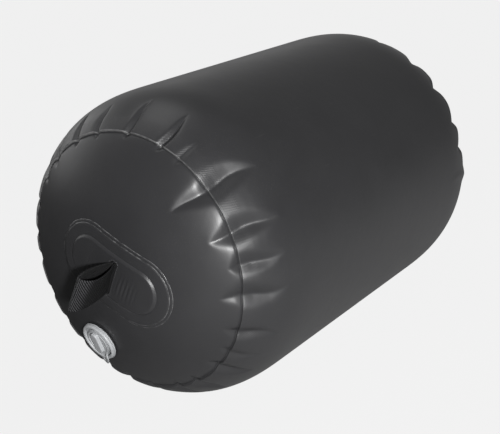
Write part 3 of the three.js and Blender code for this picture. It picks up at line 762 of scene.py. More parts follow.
def make_over_end_tree(body, handle):
    """Geometry group that lays flat cloth over the near end: along, across and height become a place."""
    nodes, given, out = new_tree(
        "laid_over_end", "GeometryNodeTree",
        {"Geometry": None, "Radius": body.radius, "Straight Half": body.straight_half,
         "End Depth": body.end_depth, "Fullness": fullness(body), "Axis Height": axis_height(body),
         "Turn": handle.turn, "Along": handle.along, "Across": handle.across}, "Geometry")
    place = nodes.split(nodes.add("GeometryNodeInputPosition").outputs[0])
    along = nodes.math("ADD", place[0], given["Along"])
    across = nodes.math("ADD", place[1], given["Across"])
    cos, sin = nodes.math("COSINE", given["Turn"]), nodes.math("SINE", given["Turn"])
    y = nodes.math("SUBTRACT", nodes.times(along, cos), nodes.times(across, sin))
    z = nodes.math("MULTIPLY_ADD", along, sin, nodes.times(across, cos))
    squared = nodes.math("MULTIPLY_ADD", y, y, nodes.times(z, z))
    part = nodes.math("DIVIDE", squared, nodes.times(given["Radius"], given["Radius"]))
    bulge = nodes.math("POWER", nodes.math("SUBTRACT", 1.0, part),
                       nodes.math("DIVIDE", 1.0, given["Fullness"]))
    level = nodes.math("MULTIPLY_ADD", bulge, given["End Depth"], given["Straight Half"])
    x = nodes.times(nodes.math("ADD", level, place[2]), -1.0)
    laid = nodes.add("GeometryNodeSetPosition", {
        "Geometry": given["Geometry"],
        "Position": nodes.xyz(x, y, nodes.math("ADD", z, given["Axis Height"]))})
    nodes.feed(out["Geometry"], laid.outputs[0])
    return nodes.tree


def make_laid_cloth_tree(over_end):
    """Geometry tree for a patch or strap: laid over the end, smoothed and dressed."""
    nodes, given, out = new_tree("laid_cloth", "GeometryNodeTree", {"Geometry": None, "Material": None},
                                 "Geometry")
    laid = nodes.group(over_end, Geometry=given["Geometry"])[0]
    return end_tree(nodes, out, laid, given["Material"])


def make_glue_tree(over_end):
    """Geometry tree for a bead of glue that follows a patch's edge, with an uneven width."""
    nodes, given, out = new_tree(
        "glue_line", "GeometryNodeTree",
        {"Geometry": None, "Bead Radius": 0.0005, "Unevenness": 0.7, "Seed": 3.0, "Material": None},
        "Geometry")
    line = nodes.add("GeometryNodeMeshToCurve", {"Mesh": given["Geometry"]}).outputs[0]
    lumps = nodes.add("ShaderNodeTexNoise", {"W": given["Seed"], "Scale": 95.0, "Detail": 2.0},
                      noise_dimensions="4D").outputs[0]
    swell = nodes.ramp(lumps, 0.3, 0.7, 0.0, 2.0)
    scale = nodes.math("MULTIPLY_ADD", nodes.math("SUBTRACT", swell, 1.0), given["Unevenness"], 1.0)
    sized = nodes.add("GeometryNodeSetCurveRadius",
                      {"Curve": line, "Radius": nodes.times(scale, given["Bead Radius"])})
    ring = nodes.add("GeometryNodeCurvePrimitiveCircle", {"Resolution": 8, "Radius": 1.0}).outputs[0]
    bead = nodes.add("GeometryNodeCurveToMesh", {"Curve": sized.outputs[0], "Profile Curve": ring})
    for socket in bead.inputs:
        if socket.name == "Scale":
            nodes.feed(socket, nodes.add("GeometryNodeInputRadius").outputs[0])
    laid = nodes.group(over_end, Geometry=bead.outputs[0])[0]
    return end_tree(nodes, out, laid, given["Material"])


def make_stitch_tree(over_end):
    """Geometry tree for a row of stitches along a line on the cover."""
    nodes, given, out = new_tree(
        "stitch_row", "GeometryNodeTree",
        {"Geometry": None, "Pitch": 0.004, "Stitch Length": 0.0026, "Thread Radius": 0.0004, "Seed": 5,
         "Material": None}, "Geometry")
    widest_tilt = 0.16
    line = nodes.add("GeometryNodeMeshToCurve", {"Mesh": given["Geometry"]}).outputs[0]
    spots = nodes.add("GeometryNodeCurveToPoints", {"Curve": line, "Length": given["Pitch"]},
                      mode="LENGTH").outputs
    thread = nodes.add("GeometryNodeMeshUVSphere",
                       {"Segments": 8, "Rings": 6, "Radius": given["Thread Radius"]}).outputs[0]
    stretch = nodes.math("DIVIDE", nodes.times(given["Stitch Length"], 0.5), given["Thread Radius"])
    stitch = nodes.add("GeometryNodeTransform",
                       {"Geometry": thread, "Scale": nodes.xyz(stretch, 1.0, 0.8)}).outputs[0]
    wobble = nodes.add("FunctionNodeRandomValue", {"Seed": given["Seed"]}, data_type="FLOAT")
    lowest, highest = (socket for socket in wobble.inputs if socket.type == "VALUE" and socket.enabled)
    lowest.default_value, highest.default_value = -widest_tilt, widest_tilt
    tilt = next(socket for socket in wobble.outputs if socket.enabled)
    facing = nodes.add("FunctionNodeAlignRotationToVector", {"Vector": spots["Tangent"]}, axis="X")
    turned = nodes.add("FunctionNodeRotateRotation",
                       {"Rotation": facing.outputs[0], "Rotate By": nodes.xyz(0.0, 0.0, tilt)})
    placed = nodes.add("GeometryNodeInstanceOnPoints", {
        "Points": spots[0], "Instance": stitch, "Rotation": turned.outputs[0]}).outputs[0]
    real = nodes.add("GeometryNodeRealizeInstances", {"Geometry": placed}).outputs[0]
    return end_tree(nodes, out, nodes.group(over_end, Geometry=real)[0], given["Material"])


def make_coil_tree():
    """Geometry tree for a coil spring about Z."""
    nodes, given, out = new_tree(
        "coil_spring", "GeometryNodeTree",
        {"Coil Radius": 0.004, "Wire Radius": 0.0005, "Turns": 3.5, "Height": 0.01, "Bottom": 0.0,
         "Material": None}, "Geometry")
    path = nodes.add("GeometryNodeCurveSpiral", {
        "Resolution": 40, "Rotations": given["Turns"], "Start Radius": given["Coil Radius"],
        "End Radius": given["Coil Radius"], "Height": given["Height"]}).outputs[0]
    wire = nodes.add("GeometryNodeCurvePrimitiveCircle",
                     {"Resolution": 12, "Radius": given["Wire Radius"]}).outputs[0]
    coil = nodes.add("GeometryNodeCurveToMesh",
                     {"Curve": path, "Profile Curve": wire, "Fill Caps": True}).outputs[0]
    lifted = nodes.add("GeometryNodeTransform",
                       {"Geometry": coil, "Translation": nodes.xyz(0.0, 0.0, given["Bottom"])}).outputs[0]
    return end_tree(nodes, out, lifted, given["Material"])


def smooth_path(points, steps):
    """Points along a curve that passes through the given ones, with evenly drawn bends."""
    points = [np.array(p, float) for p in points]
    points = [2 * points[0] - points[1], *points, 2 * points[-1] - points[-2]]
    path = []
    for p0, p1, p2, p3 in zip(points, points[1:], points[2:], points[3:]):
        d0, d1, d2 = (max(np.linalg.norm(b - a) ** 0.5, 1e-6) for a, b in ((p0, p1), (p1, p2), (p2, p3)))
        t1 = ((p1 - p0) / d0 - (p2 - p0) / (d0 + d1) + (p2 - p1) / d1) * d1
        t2 = ((p2 - p1) / d1 - (p3 - p1) / (d1 + d2) + (p3 - p2) / d2) * d1
        for k in range(steps):
            t = k / steps
            path.append(p1 + t1 * t + (-3 * p1 + 3 * p2 - 2 * t1 - t2) * t**2
                        + (2 * p1 - 2 * p2 + t1 + t2) * t**3)
    path.append(points[-2])
    return np.array(path)


# Operators


class FENDER_OT_finishes(bpy.types.Operator):
    """Make the procedural finishes of the fender"""

    bl_idname = "fender.make_finishes"
    bl_label = "Make Finishes"

    def execute(self, context):
        looks = context.scene.fender_looks
        weave, scuffs, grain = make_weave_tree(), make_scuff_tree(), make_grain_tree()
        make_cloth("body_cloth", looks, looks.cloth, weave, scuffs, welded=True)
        make_cloth("patch_cloth", looks, looks.patch, weave, scuffs, welded=False)
        make_webbing(looks, weave, scuffs)
        make_thread(looks, weave)
        make_glue(scuffs)
        make_moulded("black_rubber", looks.rubber, 0.62, grain, scuffs, depth=0.00006)
        make_moulded("grey_plastic", looks.plastic, 0.36, grain, scuffs, depth=0.00003)
        make_steel(looks, grain)
        return {"FINISHED"}


def make_weave_tree():
    """Shader group: threads crossing over and under, from coordinates in metres."""
    nodes, given, out = new_tree(
        "weave", "ShaderNodeTree",
        {"Vector": None, "Pitch": 0.0014, "Stretch": 1.0, "Unevenness": 0.2}, "Height", "Gap")
    widest_drift = 1.6
    drift = nodes.ramp(nodes.noise(given["Vector"], 60.0, 2.0), 0.0, 1.0, -1.0, 1.0)
    place = nodes.split(given["Vector"])
    turns = nodes.math("DIVIDE", 2 * math.pi, given["Pitch"])
    wander = nodes.times(drift, given["Unevenness"], widest_drift)
    warp = nodes.math("MULTIPLY_ADD", place[0], turns, wander)
    weft = nodes.math("MULTIPLY_ADD", nodes.math("DIVIDE", place[1], given["Stretch"]), turns, wander)
    crossing = nodes.times(nodes.math("SINE", warp), nodes.math("SINE", weft))
    nodes.feed(out["Height"], nodes.ramp(crossing, -1.0, 1.0))
    raised = nodes.math("POWER", nodes.math("ABSOLUTE", crossing), 0.5)
    nodes.feed(out["Gap"], nodes.math("SUBTRACT", 1.0, raised))
    return nodes.tree


def make_scuff_tree():
    """Shader group: broad smudges, fine dust and a few short scratches, as masks."""
    nodes, given, out = new_tree(
        "scuffs", "ShaderNodeTree",
        {"Vector": None, "Smudge Size": 0.05, "Dust": 0.3, "Scratches": 0.3}, "Smudge", "Dust", "Scratch")
    broad = nodes.noise(given["Vector"], nodes.math("DIVIDE", 1.0, given["Smudge Size"]), 5.0, 0.6)
    nodes.feed(out["Smudge"], nodes.ramp(broad, 0.38, 0.66))
    specks = nodes.ramp(nodes.noise(given["Vector"], 900.0, 2.0, 0.6), 0.62, 0.78)
    patches = nodes.ramp(nodes.noise(given["Vector"], 14.0, 3.0), 0.42, 0.62)
    nodes.feed(out["Dust"], nodes.times(specks, patches, given["Dust"]))
    slanted = nodes.add("ShaderNodeMapping", {"Vector": given["Vector"], "Rotation": (0.3, 0.5, 0.7),
                                              "Scale": (26.0, 420.0, 420.0)}).outputs[0]
    lines = nodes.ramp(nodes.noise(slanted, 1.0, 2.0, 0.5), 0.70, 0.76)
    nodes.feed(out["Scratch"], nodes.times(lines, given["Scratches"]))
    return nodes.tree


def make_grain_tree():
    """Shader group: the fine, even grain of a moulded or drawn surface."""
    nodes, given, out = new_tree(
        "grain", "ShaderNodeTree",
        {"Vector": None, "Size": 0.0005, "Tone": 0.1}, "Height", "Tone")
    per_metre = nodes.math("DIVIDE", 1.0, given["Size"])
    fine = nodes.noise(given["Vector"], per_metre, 3.0, 0.6)
    broad = nodes.noise(given["Vector"], nodes.times(per_metre, 0.05), 4.0, 0.55)
    nodes.feed(out["Height"], fine)
    shift = nodes.times(nodes.ramp(broad, 0.35, 0.65, -1.0, 1.0), given["Tone"])
    nodes.feed(out["Tone"], nodes.math("ADD", shift, 1.0))
    return nodes.tree


def new_material(name, **constants):
    """A material with a Principled BSDF, whose plain values are set on its own sockets."""
    if name in bpy.data.materials:
        raise ValueError(f"a material named {name} is there already")
    material = bpy.data.materials.new(name)
    material.use_nodes = True
    nodes = Nodes(material.node_tree)
    shader = material.node_tree.nodes["Principled BSDF"]
    for socket, value in constants.items():
        shader.inputs[socket.replace("_", " ")].default_value = value
    return nodes, shader


def tinted(nodes, rgb, by):
    """A colour scaled by a value."""
    return nodes.vector("SCALE", tuple(rgb), None, None, by)


def make_cloth(name, looks, rgb, weave, scuffs, welded):
    """Coated cloth: threads show where its band is pressed, and a welded one has a pale cut edge, which is
    a painted highlight strongest on its upper left.
    """
    thread_relief, ripple_relief = 0.00013, 0.0002
    nodes, shader = new_material(name, Specular_IOR_Level=0.5)
    solid = nodes.object_place()
    threads = nodes.group(weave, Vector=nodes.cloth_place(), Pitch=looks.weave_pitch, Unevenness=0.25)
    marks = nodes.group(scuffs, Vector=solid, Smudge_Size=0.09, Dust=0.35, Scratches=0.25)
    pressed = nodes.ramp(nodes.attribute("band"), 0.0, 1.0, 0.1, 1.0)
    base = tinted(nodes, rgb, nodes.ramp(marks["Smudge"], 0.0, 1.0, 0.95, 1.07))
    dusty = nodes.mix(marks["Dust"], base, (0.16, 0.16, 0.155, 1.0))
    wear_and_painted_highlight = nodes.mix(marks["Scratch"], dusty, (0.07, 0.07, 0.07, 1.0))
    if welded:
        # Painted highlight along the seam's cut edge: paler towards the upper left, where the light falls,
        # and broken up by noise.
        highlight_breaks = nodes.ramp(nodes.noise(solid, 160.0, 3.0), 0.3, 0.6, 0.35, 1.0)
        place = nodes.split(solid)
        upper_left = nodes.math("MULTIPLY_ADD", place[1], 0.5, place[2])
        pale = nodes.times(highlight_breaks, nodes.ramp(upper_left, 0.08, 0.4, 0.05, 1.0))
        wear_and_painted_highlight = nodes.mix(nodes.times(nodes.attribute("cut"), pale), wear_and_painted_highlight, (0.14, 0.14, 0.14, 1.0))
    rough = nodes.ramp(marks["Smudge"], 0.0, 1.0, 0.385, 0.415)
    rough = nodes.math("MULTIPLY_ADD", pressed, 0.03, rough)
    rough = nodes.math("MULTIPLY_ADD", marks["Dust"], 0.3, rough)
    height = nodes.times(threads["Height"], pressed, thread_relief)
    height = nodes.math("MULTIPLY_ADD", nodes.noise(solid, 55.0, 3.0), ripple_relief, height)
    nodes.dress(shader, wear_and_painted_highlight, rough, height)


def make_webbing(looks, weave, scuffs):
    """Woven webbing with slanting ribs, paler on the rib tops of the loop's fold, which is a painted
    highlight.
    """
    rib_slant, rib_relief, fold_highlight_gain = -0.85, 0.0005, 4.0
    nodes, shader = new_material("strap_webbing", Specular_IOR_Level=0.2)
    cloth = nodes.cloth_place()
    threads = nodes.group(weave, Vector=cloth, Pitch=looks.web_pitch, Stretch=0.5, Unevenness=0.15)
    fuzz = nodes.group(scuffs, Vector=nodes.object_place(), Smudge_Size=0.02, Dust=0.5, Scratches=0.0)
    place = nodes.split(cloth)
    slant = nodes.math("MULTIPLY_ADD", place[0], rib_slant, place[1])
    ribs = nodes.math("SINE", nodes.times(slant, 2 * math.pi / looks.web_pitch))
    lift = nodes.math("MULTIPLY_ADD", ribs, 0.9, threads["Height"])
    # Painted highlight: the rib tops on the loop's fold are made paler.
    painted_fold_highlight = nodes.times(nodes.attribute("fold"), nodes.ramp(ribs, -0.3, 0.9))
    wear_and_painted_highlight = nodes.math("MULTIPLY_ADD", painted_fold_highlight, fold_highlight_gain, 1.0)
    tone = nodes.times(nodes.ramp(lift, -0.9, 1.9, 0.4, 1.6), wear_and_painted_highlight)
    base = tinted(nodes, looks.webbing, tone)
    nodes.dress(shader, nodes.mix(fuzz["Dust"], base, (0.08, 0.08, 0.08, 1.0)),
                nodes.ramp(threads["Gap"], 0.0, 1.0, 0.5, 0.85), nodes.times(lift, rib_relief))


def make_thread(looks, weave):
    nodes, shader = new_material("thread", Sheen_Weight=0.1)
    twist = nodes.group(weave, Vector=nodes.object_place(), Pitch=0.0007, Unevenness=0.1)
    nodes.dress(shader, tinted(nodes, looks.thread, nodes.ramp(twist["Height"], 0.0, 1.0, 0.7, 1.3)),
                nodes.ramp(twist["Gap"], 0.0, 1.0, 0.45, 0.7))


def make_glue(scuffs):
    nodes, shader = new_material("glue", Coat_Weight=0.3)
    marks = nodes.group(scuffs, Vector=nodes.object_place(), Smudge_Size=0.012, Dust=0.4, Scratches=0.0)
    nodes.dress(shader, nodes.mix(marks["Smudge"], (0.04, 0.04, 0.041, 1.0), (0.15, 0.15, 0.152, 1.0)),
                nodes.ramp(marks["Smudge"], 0.0, 1.0, 0.2, 0.4))


def make_moulded(name, rgb, roughness, grain, scuffs, depth):
    """Moulded plastic or rubber, with grime in smudges and pale scratches."""
    nodes, shader = new_material(name)
    solid = nodes.object_place()
    skin = nodes.group(grain, Vector=solid, Size=0.0006, Tone=0.06)
    marks = nodes.group(scuffs, Vector=solid, Smudge_Size=0.012, Dust=0.3, Scratches=0.35)
    dark, pale = (*(0.62 * c for c in rgb), 1.0), (*(min(1.3 * c, 1.0) for c in rgb), 1.0)
    grimy = nodes.mix(nodes.times(marks["Smudge"], 0.25), tinted(nodes, rgb, skin["Tone"]), dark)
    nodes.dress(shader, nodes.mix(marks["Scratch"], grimy, pale),
                nodes.ramp(marks["Smudge"], 0.0, 1.0, roughness - 0.04, roughness + 0.08),
                nodes.times(skin["Height"], depth))


def make_steel(looks, grain):
    nodes, shader = new_material("steel_wire", Metallic=1.0)
    drawn = nodes.group(grain, Vector=nodes.object_place(), Size=0.0003, Tone=0.08)
    nodes.dress(shader, tinted(nodes, looks.steel, drawn["Tone"]),
                nodes.ramp(drawn["Height"], 0.3, 0.7, 0.22, 0.36))


class FENDER_OT_stage(bpy.types.Operator):
    """Set up the camera, the soft lamps and the pale floor"""

    bl_idname = "fender.make_stage"
    bl_label = "Make Stage"

    def execute(self, context):
        stage = context.scene.fender_stage
        self.place_camera(context, stage)
        middle = (0, 0, 0.23)
        for name, place, size, power in (
                ("key_lamp", (-1.92, -1.8, 1.06), (0.16, 0.16), stage.key_power),
                ("top_soft_box", (0.0, 1.0, 2.45), (1.6, 1.2), stage.top_power),
                ("left_soft_box", (-1.0, 1.7, 2.0), (1.2, 1.0), stage.left_power),
                ("side_soft_box", (-0.1, 2.7, 1.0), (2.4, 1.4), stage.side_power)):
            lamp = bpy.data.lights.new(name, "AREA")
            lamp.shape, lamp.size, lamp.size_y, lamp.energy = "RECTANGLE", *size, power
            box = bpy.data.objects.new(name, lamp)
            box.location = place
            box.rotation_euler = (Vector(middle) - Vector(place)).to_track_quat("-Z", "Y").to_euler()
            context.scene.collection.objects.link(box)
        self.make_backdrop(context, stage)
        self.make_floor(stage)
        context.scene.view_settings.view_transform = "Standard"
        return {"FINISHED"}

    def place_camera(self, context, stage):
        camera = bpy.data.objects.new("camera", bpy.data.cameras.new("camera"))
        camera.data.lens, camera.data.sensor_width = stage.lens, 36
        camera.data.sensor_fit = "HORIZONTAL"
        camera.data.clip_start, camera.data.clip_end = 0.02, 60
        right, up = Vector((0.57341236, -0.8192669, 0)), Vector((0.29508, 0.20653, 0.93288))
        ahead = Vector((0.76427858, 0.53492554, -0.36018457))
        turned = Matrix((right, up, -ahead)).transposed().to_4x4()
        camera.matrix_world = Matrix.Translation((-1.30041, -0.87602, 0.79527)) @ turned
        context.scene.collection.objects.link(camera)
        context.scene.camera = camera

    def seen_share(self, nodes, straight, mirrored):
        """Share of a surface's own white, as it is seen straight or through glass, and in gloss."""
        rays = nodes.add("ShaderNodeLightPath").outputs
        through = nodes.math("MAXIMUM", rays["Is Camera Ray"], rays["Is Transmission Ray"])
        return nodes.math("MAXIMUM", nodes.times(through, straight),
                          nodes.times(rays["Is Glossy Ray"], mirrored))

    def make_backdrop(self, context, stage):
        """A world that looks near white, mirrors less and lights the fender from the right."""
        to_right, behind_fender = (0.75, -0.65, 0.1), (0.35, 0.937, 0.0)
        world = bpy.data.worlds.new("studio")
        world.use_nodes = True
        context.scene.world = world
        nodes = Nodes(world.node_tree)
        light = world.node_tree.nodes["Background"]
        light.inputs["Color"].default_value = (1.0, 1.0, 1.0, 1.0)
        white = nodes.add("ShaderNodeBackground",
                          {"Color": (*stage.floor, 1.0), "Strength": stage.backdrop_level})
        heading = nodes.add("ShaderNodeTexCoord").outputs["Generated"]
        low = nodes.ramp(nodes.split(heading)[2], 0.15, 0.6, stage.backdrop_gloss, 0.05)
        mirrored = nodes.times(nodes.ramp(nodes.dot(heading, behind_fender), 0.2, 0.8), low)
        nodes.feed(light.inputs["Strength"],
                   nodes.ramp(nodes.dot(heading, to_right), -0.5, 0.6, stage.shade, stage.fill))
        shown = nodes.add("ShaderNodeMixShader", (self.seen_share(nodes, 1.0, mirrored), light.outputs[0],
                                                  white.outputs[0]))
        nodes.feed(world.node_tree.nodes["World Output"].inputs[0], shown.outputs[0])

    def make_floor(self, stage):
        """A wide floor with the same look, which gives more light back on the right than on the left: its
        colour is darker on the left, a painted shade.
        """
        reach, right_side, left_side = 14.0, -0.3, 0.15
        corners = [(-reach, -reach, 0), (reach, -reach, 0), (reach, reach, 0), (-reach, reach, 0)]
        floor = new_piece("floor", corners, [(0, 1, 2, 3)])
        nodes, shader = new_material("floor", Roughness=0.9, Specular_IOR_Level=0.1)
        solid = nodes.object_place()
        tone = nodes.ramp(nodes.noise(solid, 3.0, 3.0), 0.3, 0.7, 0.98, 1.0)
        # Painted shade: the floor's colour is darker on its left, which the fender shows in its gloss and
        # takes as bounced light.
        bounce = nodes.ramp(nodes.split(solid)[1], right_side, left_side, stage.floor_bounce,
                            stage.left_bounce)
        nodes.feed(shader.inputs["Base Color"], tinted(nodes, stage.floor, nodes.times(tone, bounce)))
        glow = nodes.add("ShaderNodeEmission", {"Color": (*stage.floor, 1.0), "Strength": 1.0})
        mirrored = nodes.times(bounce, stage.floor_gloss)
        shown = nodes.add("ShaderNodeMixShader", (self.seen_share(nodes, stage.floor_level, mirrored),
                                                  shader.outputs[0], glow.outputs[0]))
        nodes.feed(nodes.tree.nodes["Material Output"].inputs[0], shown.outputs[0])
        give_material(floor, "floor")


class FENDER_OT_body(bpy.types.Operator):
    """Blow up the body with its gathered seams"""

    bl_idname = "fender.make_body"
    bl_label = "Make Body"

    def execute(self, context):
        body, valve = context.scene.fender_body, context.scene.fender_valve
        net, faces = body_net(body)
        piece = new_piece("chamber", np.zeros((len(net["turn"]), 3)), faces)
        for name in ("turn", "lean", "along", "rise"):
            write_values(piece.data, name, net[name])
        edge = body.hem_width + 0.5 * MM
        band = np.interp(net["arc"], [-0.4 * MM, 0, edge - 0.9 * MM, edge], [0, 1, 1, 0])
        write_values(piece.data, "band", band)
        cut = np.interp(net["arc"], np.array([-0.8, -0.35, 0.5, 1.3]) * MM, [0, 1, 1, 0])
        write_values(piece.data, "cut", cut)
        run_tree(piece, make_inflated_tree(), Radius=body.radius, Straight_Half=body.straight_half,
                 End_Depth=body.end_depth, Fullness=fullness(body), Axis_Height=axis_height(body),
                 Material=material_of("body_cloth"))
        for name in ("turn", "lean", "along", "rise"):
            piece.data.attributes.remove(piece.data.attributes[name])
        seat_valve(body, valve, piece.data)
        write_cloth_uv(body, piece.data, context.scene.fender_handle.turn)
        finish_piece(piece, "fender", "coated_cloth", "air_chamber")
        return {"FINISHED"}


class FENDER_OT_patches(bpy.types.Operator):
    """Lay the two handle patches and their glue lines over the near end"""

    bl_idname = "fender.make_patches"
    bl_label = "Make Patches"

    def execute(self, context):
        body, handle = context.scene.fender_body, context.scene.fender_handle
        over_end = make_over_end_tree(body, handle)
        laid = make_laid_cloth_tree(over_end)
        self.lay("base_patch", self.base_shape(handle), laid, "handle_base_patch")
        self.lay("cover_patch", self.cover_shape(handle), laid, "handle_cover_patch")
        glue = make_glue_tree(over_end)
        base_top, *_ = layer_levels(handle)
        outside, over = 0.0002, 0.0004
        for name, half, height, seed in (("base_glue", handle.base_half, handle.touch_gap, 3.0),
                                         ("cover_glue", handle.cover_half, base_top, 8.0)):
            line = closed_line(name, stadium(half, outside, 420), height + over)
            run_tree(line, glue, Bead_Radius=handle.glue_radius, Seed=seed, Material=material_of("glue"))
            recalculated(line)
            finish_piece(line, "fender", "coated_cloth")
        return {"FINISHED"}

    def base_shape(self, handle):
        gap, base = handle.touch_gap, np.array(handle.base_half)
        base_top, *_ = layer_levels(handle)
        shares = np.linspace(0.05, 0.97, 24)
        above = [flat_ring(stadium(base * s), base_top) for s in shares]
        edge = [flat_ring(stadium(base, -inset), height) for height, inset in (
            (base_top, EDGE_ROUNDING), (base_top - EDGE_ROUNDING, 0), (gap + EDGE_ROUNDING, 0),
            (gap, EDGE_ROUNDING))]
        below = [flat_ring(stadium(base * s), gap) for s in shares[::-1]]
        return loft(above + edge + below)

    def cover_shape(self, handle):
        """Cover with a slit, a raised middle and a groove round its foot, deeper along its lower side."""
        crown_inset, slope_width, groove_depth = 0.0035, 0.0052, 0.0009
        _, flat_bottom, flat_top, raised_bottom, raised_top = layer_levels(handle)
        slit_half, slit_corner, slit_place = slit_size(handle)
        slit = rounded_outline(slit_half, slit_corner) + slit_place
        raised = handle.raised_half
        crown = stadium(raised, -crown_inset)

        def between(a, b, t):
            return a * (1 - t) + b * t

        def side(top):
            low, high = (flat_top, raised_top) if top else (flat_bottom, raised_bottom)
            inward = 0.0 if top else handle.patch_thickness * 0.8
            run = [flat_ring(between(slit, crown, t), high) for t in np.linspace(0, 1, 44)[1:]]
            for t in np.linspace(0, 1, 11)[1:]:
                grow = -crown_inset + slope_width * t - inward * min(1, 3 * t)
                ease = 0.5 + 0.5 * math.cos(math.pi * t)
                outline = stadium(raised, grow * 0.8)
                height = low + (high - low) * ease**0.8
                if top:
                    lower_side = np.clip(-outline[:, 1] / raised[1], 0.4, 1)
                    height = height - groove_depth * lower_side * math.exp(-((t - 0.88) / 0.12) ** 2)
                run.append(flat_ring(outline, height))
            inner, rim = run[-1][:, :2], stadium(handle.cover_half, -EDGE_ROUNDING)
            return run + [flat_ring(between(inner, rim, t), low) for t in np.linspace(0, 1, 10)[1:]]

        edge = [flat_ring(stadium(handle.cover_half), z)
                for z in (flat_top - EDGE_ROUNDING, flat_bottom + EDGE_ROUNDING)]
        lip = [flat_ring(slit, z) for z in (raised_bottom + EDGE_ROUNDING, raised_top - EDGE_ROUNDING)]
        points, faces = loft([*side(True), *edge, *side(False)[::-1], *lip], closed=True)
        return self.relief(points, handle), faces

    def relief(self, points, handle):
        """Lets the cover show the webbing's feet under it as low ridges, and their end as a fold."""
        rib_pitch, rib_height, foot_height, fold_height = 0.0062, 0.00045, 0.0002, 0.0003
        _, _, slit_place = slit_size(handle)
        *_, raised_bottom, _ = layer_levels(handle)
        along, across = points[:, 0] - slit_place[0], points[:, 1] - slit_place[1]
        raised = np.clip((points[:, 2] - raised_bottom) / 0.0004, 0, 1)
        inside = raised * np.clip((handle.web_width / 2 - np.abs(across)) / 0.006, 0, 1)
        reach = np.clip((np.abs(along) - 0.008) / 0.006, 0, 1) * np.clip(
            (handle.foot_length + 0.006 - np.abs(along)) / 0.005, 0, 1)
        middle = np.exp(-(((across + 0.003) / 0.014) ** 2 + ((np.abs(along) - 0.026) / 0.018) ** 2))
        ribs = np.sin(along / rib_pitch * 2 * math.pi + 0.6 * np.sin(across * 90)) * rib_height * middle
        fold = np.exp(-(((along - 0.047) / 0.004) ** 2 + ((across + 0.004) / 0.016) ** 2))
        lift = inside * reach * (ribs + foot_height) + raised * fold * fold_height
        return points + np.outer(lift, (0, 0, 1))

    def lay(self, name, shape, laid, node):
        """Lays a flat shape over the near end, with the cloth coordinates and pressed band it had flat."""
        piece = new_piece(name, *shape)
        recalculated(piece)
        place = read_points(piece.data)
        write_uv(piece.data, place[read_corners(piece.data), :2])
        *_, raised_bottom, raised_top = layer_levels(bpy.context.scene.fender_handle)
        pressed = np.clip((raised_bottom - place[:, 2]) / (raised_top - raised_bottom), 0, 1)
        write_values(piece.data, "band", pressed)
        run_tree(piece, laid, Material=material_of("patch_cloth"))
        recalculated(piece)
        shaded(piece, 55)
        finish_piece(piece, "fender", "coated_cloth", node)


class FENDER_OT_strap(bpy.types.Operator):
    """Form the webbing loop and sew its slit"""

    bl_idname = "fender.make_strap"
    bl_label = "Make Strap"

    def execute(self, context):
        handle = context.scene.fender_handle
        over_end = bpy.data.node_groups["laid_over_end"]
        base_top, *_, raised_top = layer_levels(handle)
        foot_top = base_top + handle.touch_gap + handle.web_thickness
        foot_level = foot_top - handle.web_thickness / 2
        slit_half, slit_corner, slit_place = slit_size(handle)
        legs = [(along * MM, foot_top + out * MM) for along, out in NEAR_LEG + LOOP_FOLD + FAR_LEG]
        near_foot = [(-handle.foot_length * s, foot_level) for s in FOOT_SHARES]
        far_foot = [(handle.foot_length * s, foot_level) for s in FOOT_SHARES[::-1]]
        path = smooth_path(near_foot + legs + far_foot, 9)
        heading = np.gradient(path, axis=0)
        heading /= np.linalg.norm(heading, axis=1)[:, None]
        run = np.concatenate([[0], np.cumsum(np.linalg.norm(np.diff(path, axis=0), axis=1))])
        half_width, half_thick = handle.web_width / 2, handle.web_thickness / 2

        flat_half, bulge = half_width - half_thick, 1.05
        section = []
        for side in (1, -1):
            section += [(side * across * flat_half, side) for across in np.linspace(1, -1, 21)[1:-1]]
            section += [(side * (half_thick * bulge * math.cos(turn) - flat_half),
                         side * bulge * math.sin(turn))
                        for turn in np.linspace(0.5 * math.pi, 1.5 * math.pi, 7)]

        soon_closed = 0.015
        rings, uv = [], []
        for (along, out), (hx, hy), far in zip(path, heading, run):
            ring = []
            for across, face in section:
                lower = 1 - across / half_width
                x, z = along - hy * half_thick * face, out + hx * half_thick * face
                rise = max(z - foot_top, 0)
                close = 1 - handle.loop_narrowing * lower * min(rise / soon_closed, 1)
                ring.append((slit_place[0] + x * close, across + slit_place[1],
                             z + rise * handle.loop_flare * lower))
                uv.append((across, far))
            rings.append(ring)
        piece = new_piece("strap", *loft(rings))
        out = np.repeat(path[:, 1] - foot_top, len(section))
        leg = np.repeat(heading[:, 0], len(section))
        # Mask of the loop's fold, where the webbing gets its painted highlight.
        wear_and_painted_highlight = np.clip((out - 0.050) / 0.008, 0, 1) * np.clip((leg + 0.3) / 0.4, 0, 1)
        write_values(piece.data, "fold", wear_and_painted_highlight)
        write_uv(piece.data, np.array(uv)[read_corners(piece.data)])
        run_tree(piece, make_laid_cloth_tree(over_end), Material=material_of("strap_webbing"))
        recalculated(piece)
        piece.data.shade_smooth()
        finish_piece(piece, "fender", "webbing", "handle_strap")

        beside_slit, over_cover = 0.0016, 0.00012
        outline = rounded_outline(np.array(slit_half) + beside_slit, slit_corner + beside_slit, 160)
        row = closed_line("slit_stitches", outline + slit_place, raised_top + over_cover)
        run_tree(row, make_stitch_tree(over_end), Pitch=handle.stitch_pitch,
                 Stitch_Length=handle.stitch_length, Thread_Radius=0.00045,
                 Material=material_of("thread"))
        finish_piece(row, "fender", "webbing")
        return {"FINISHED"}


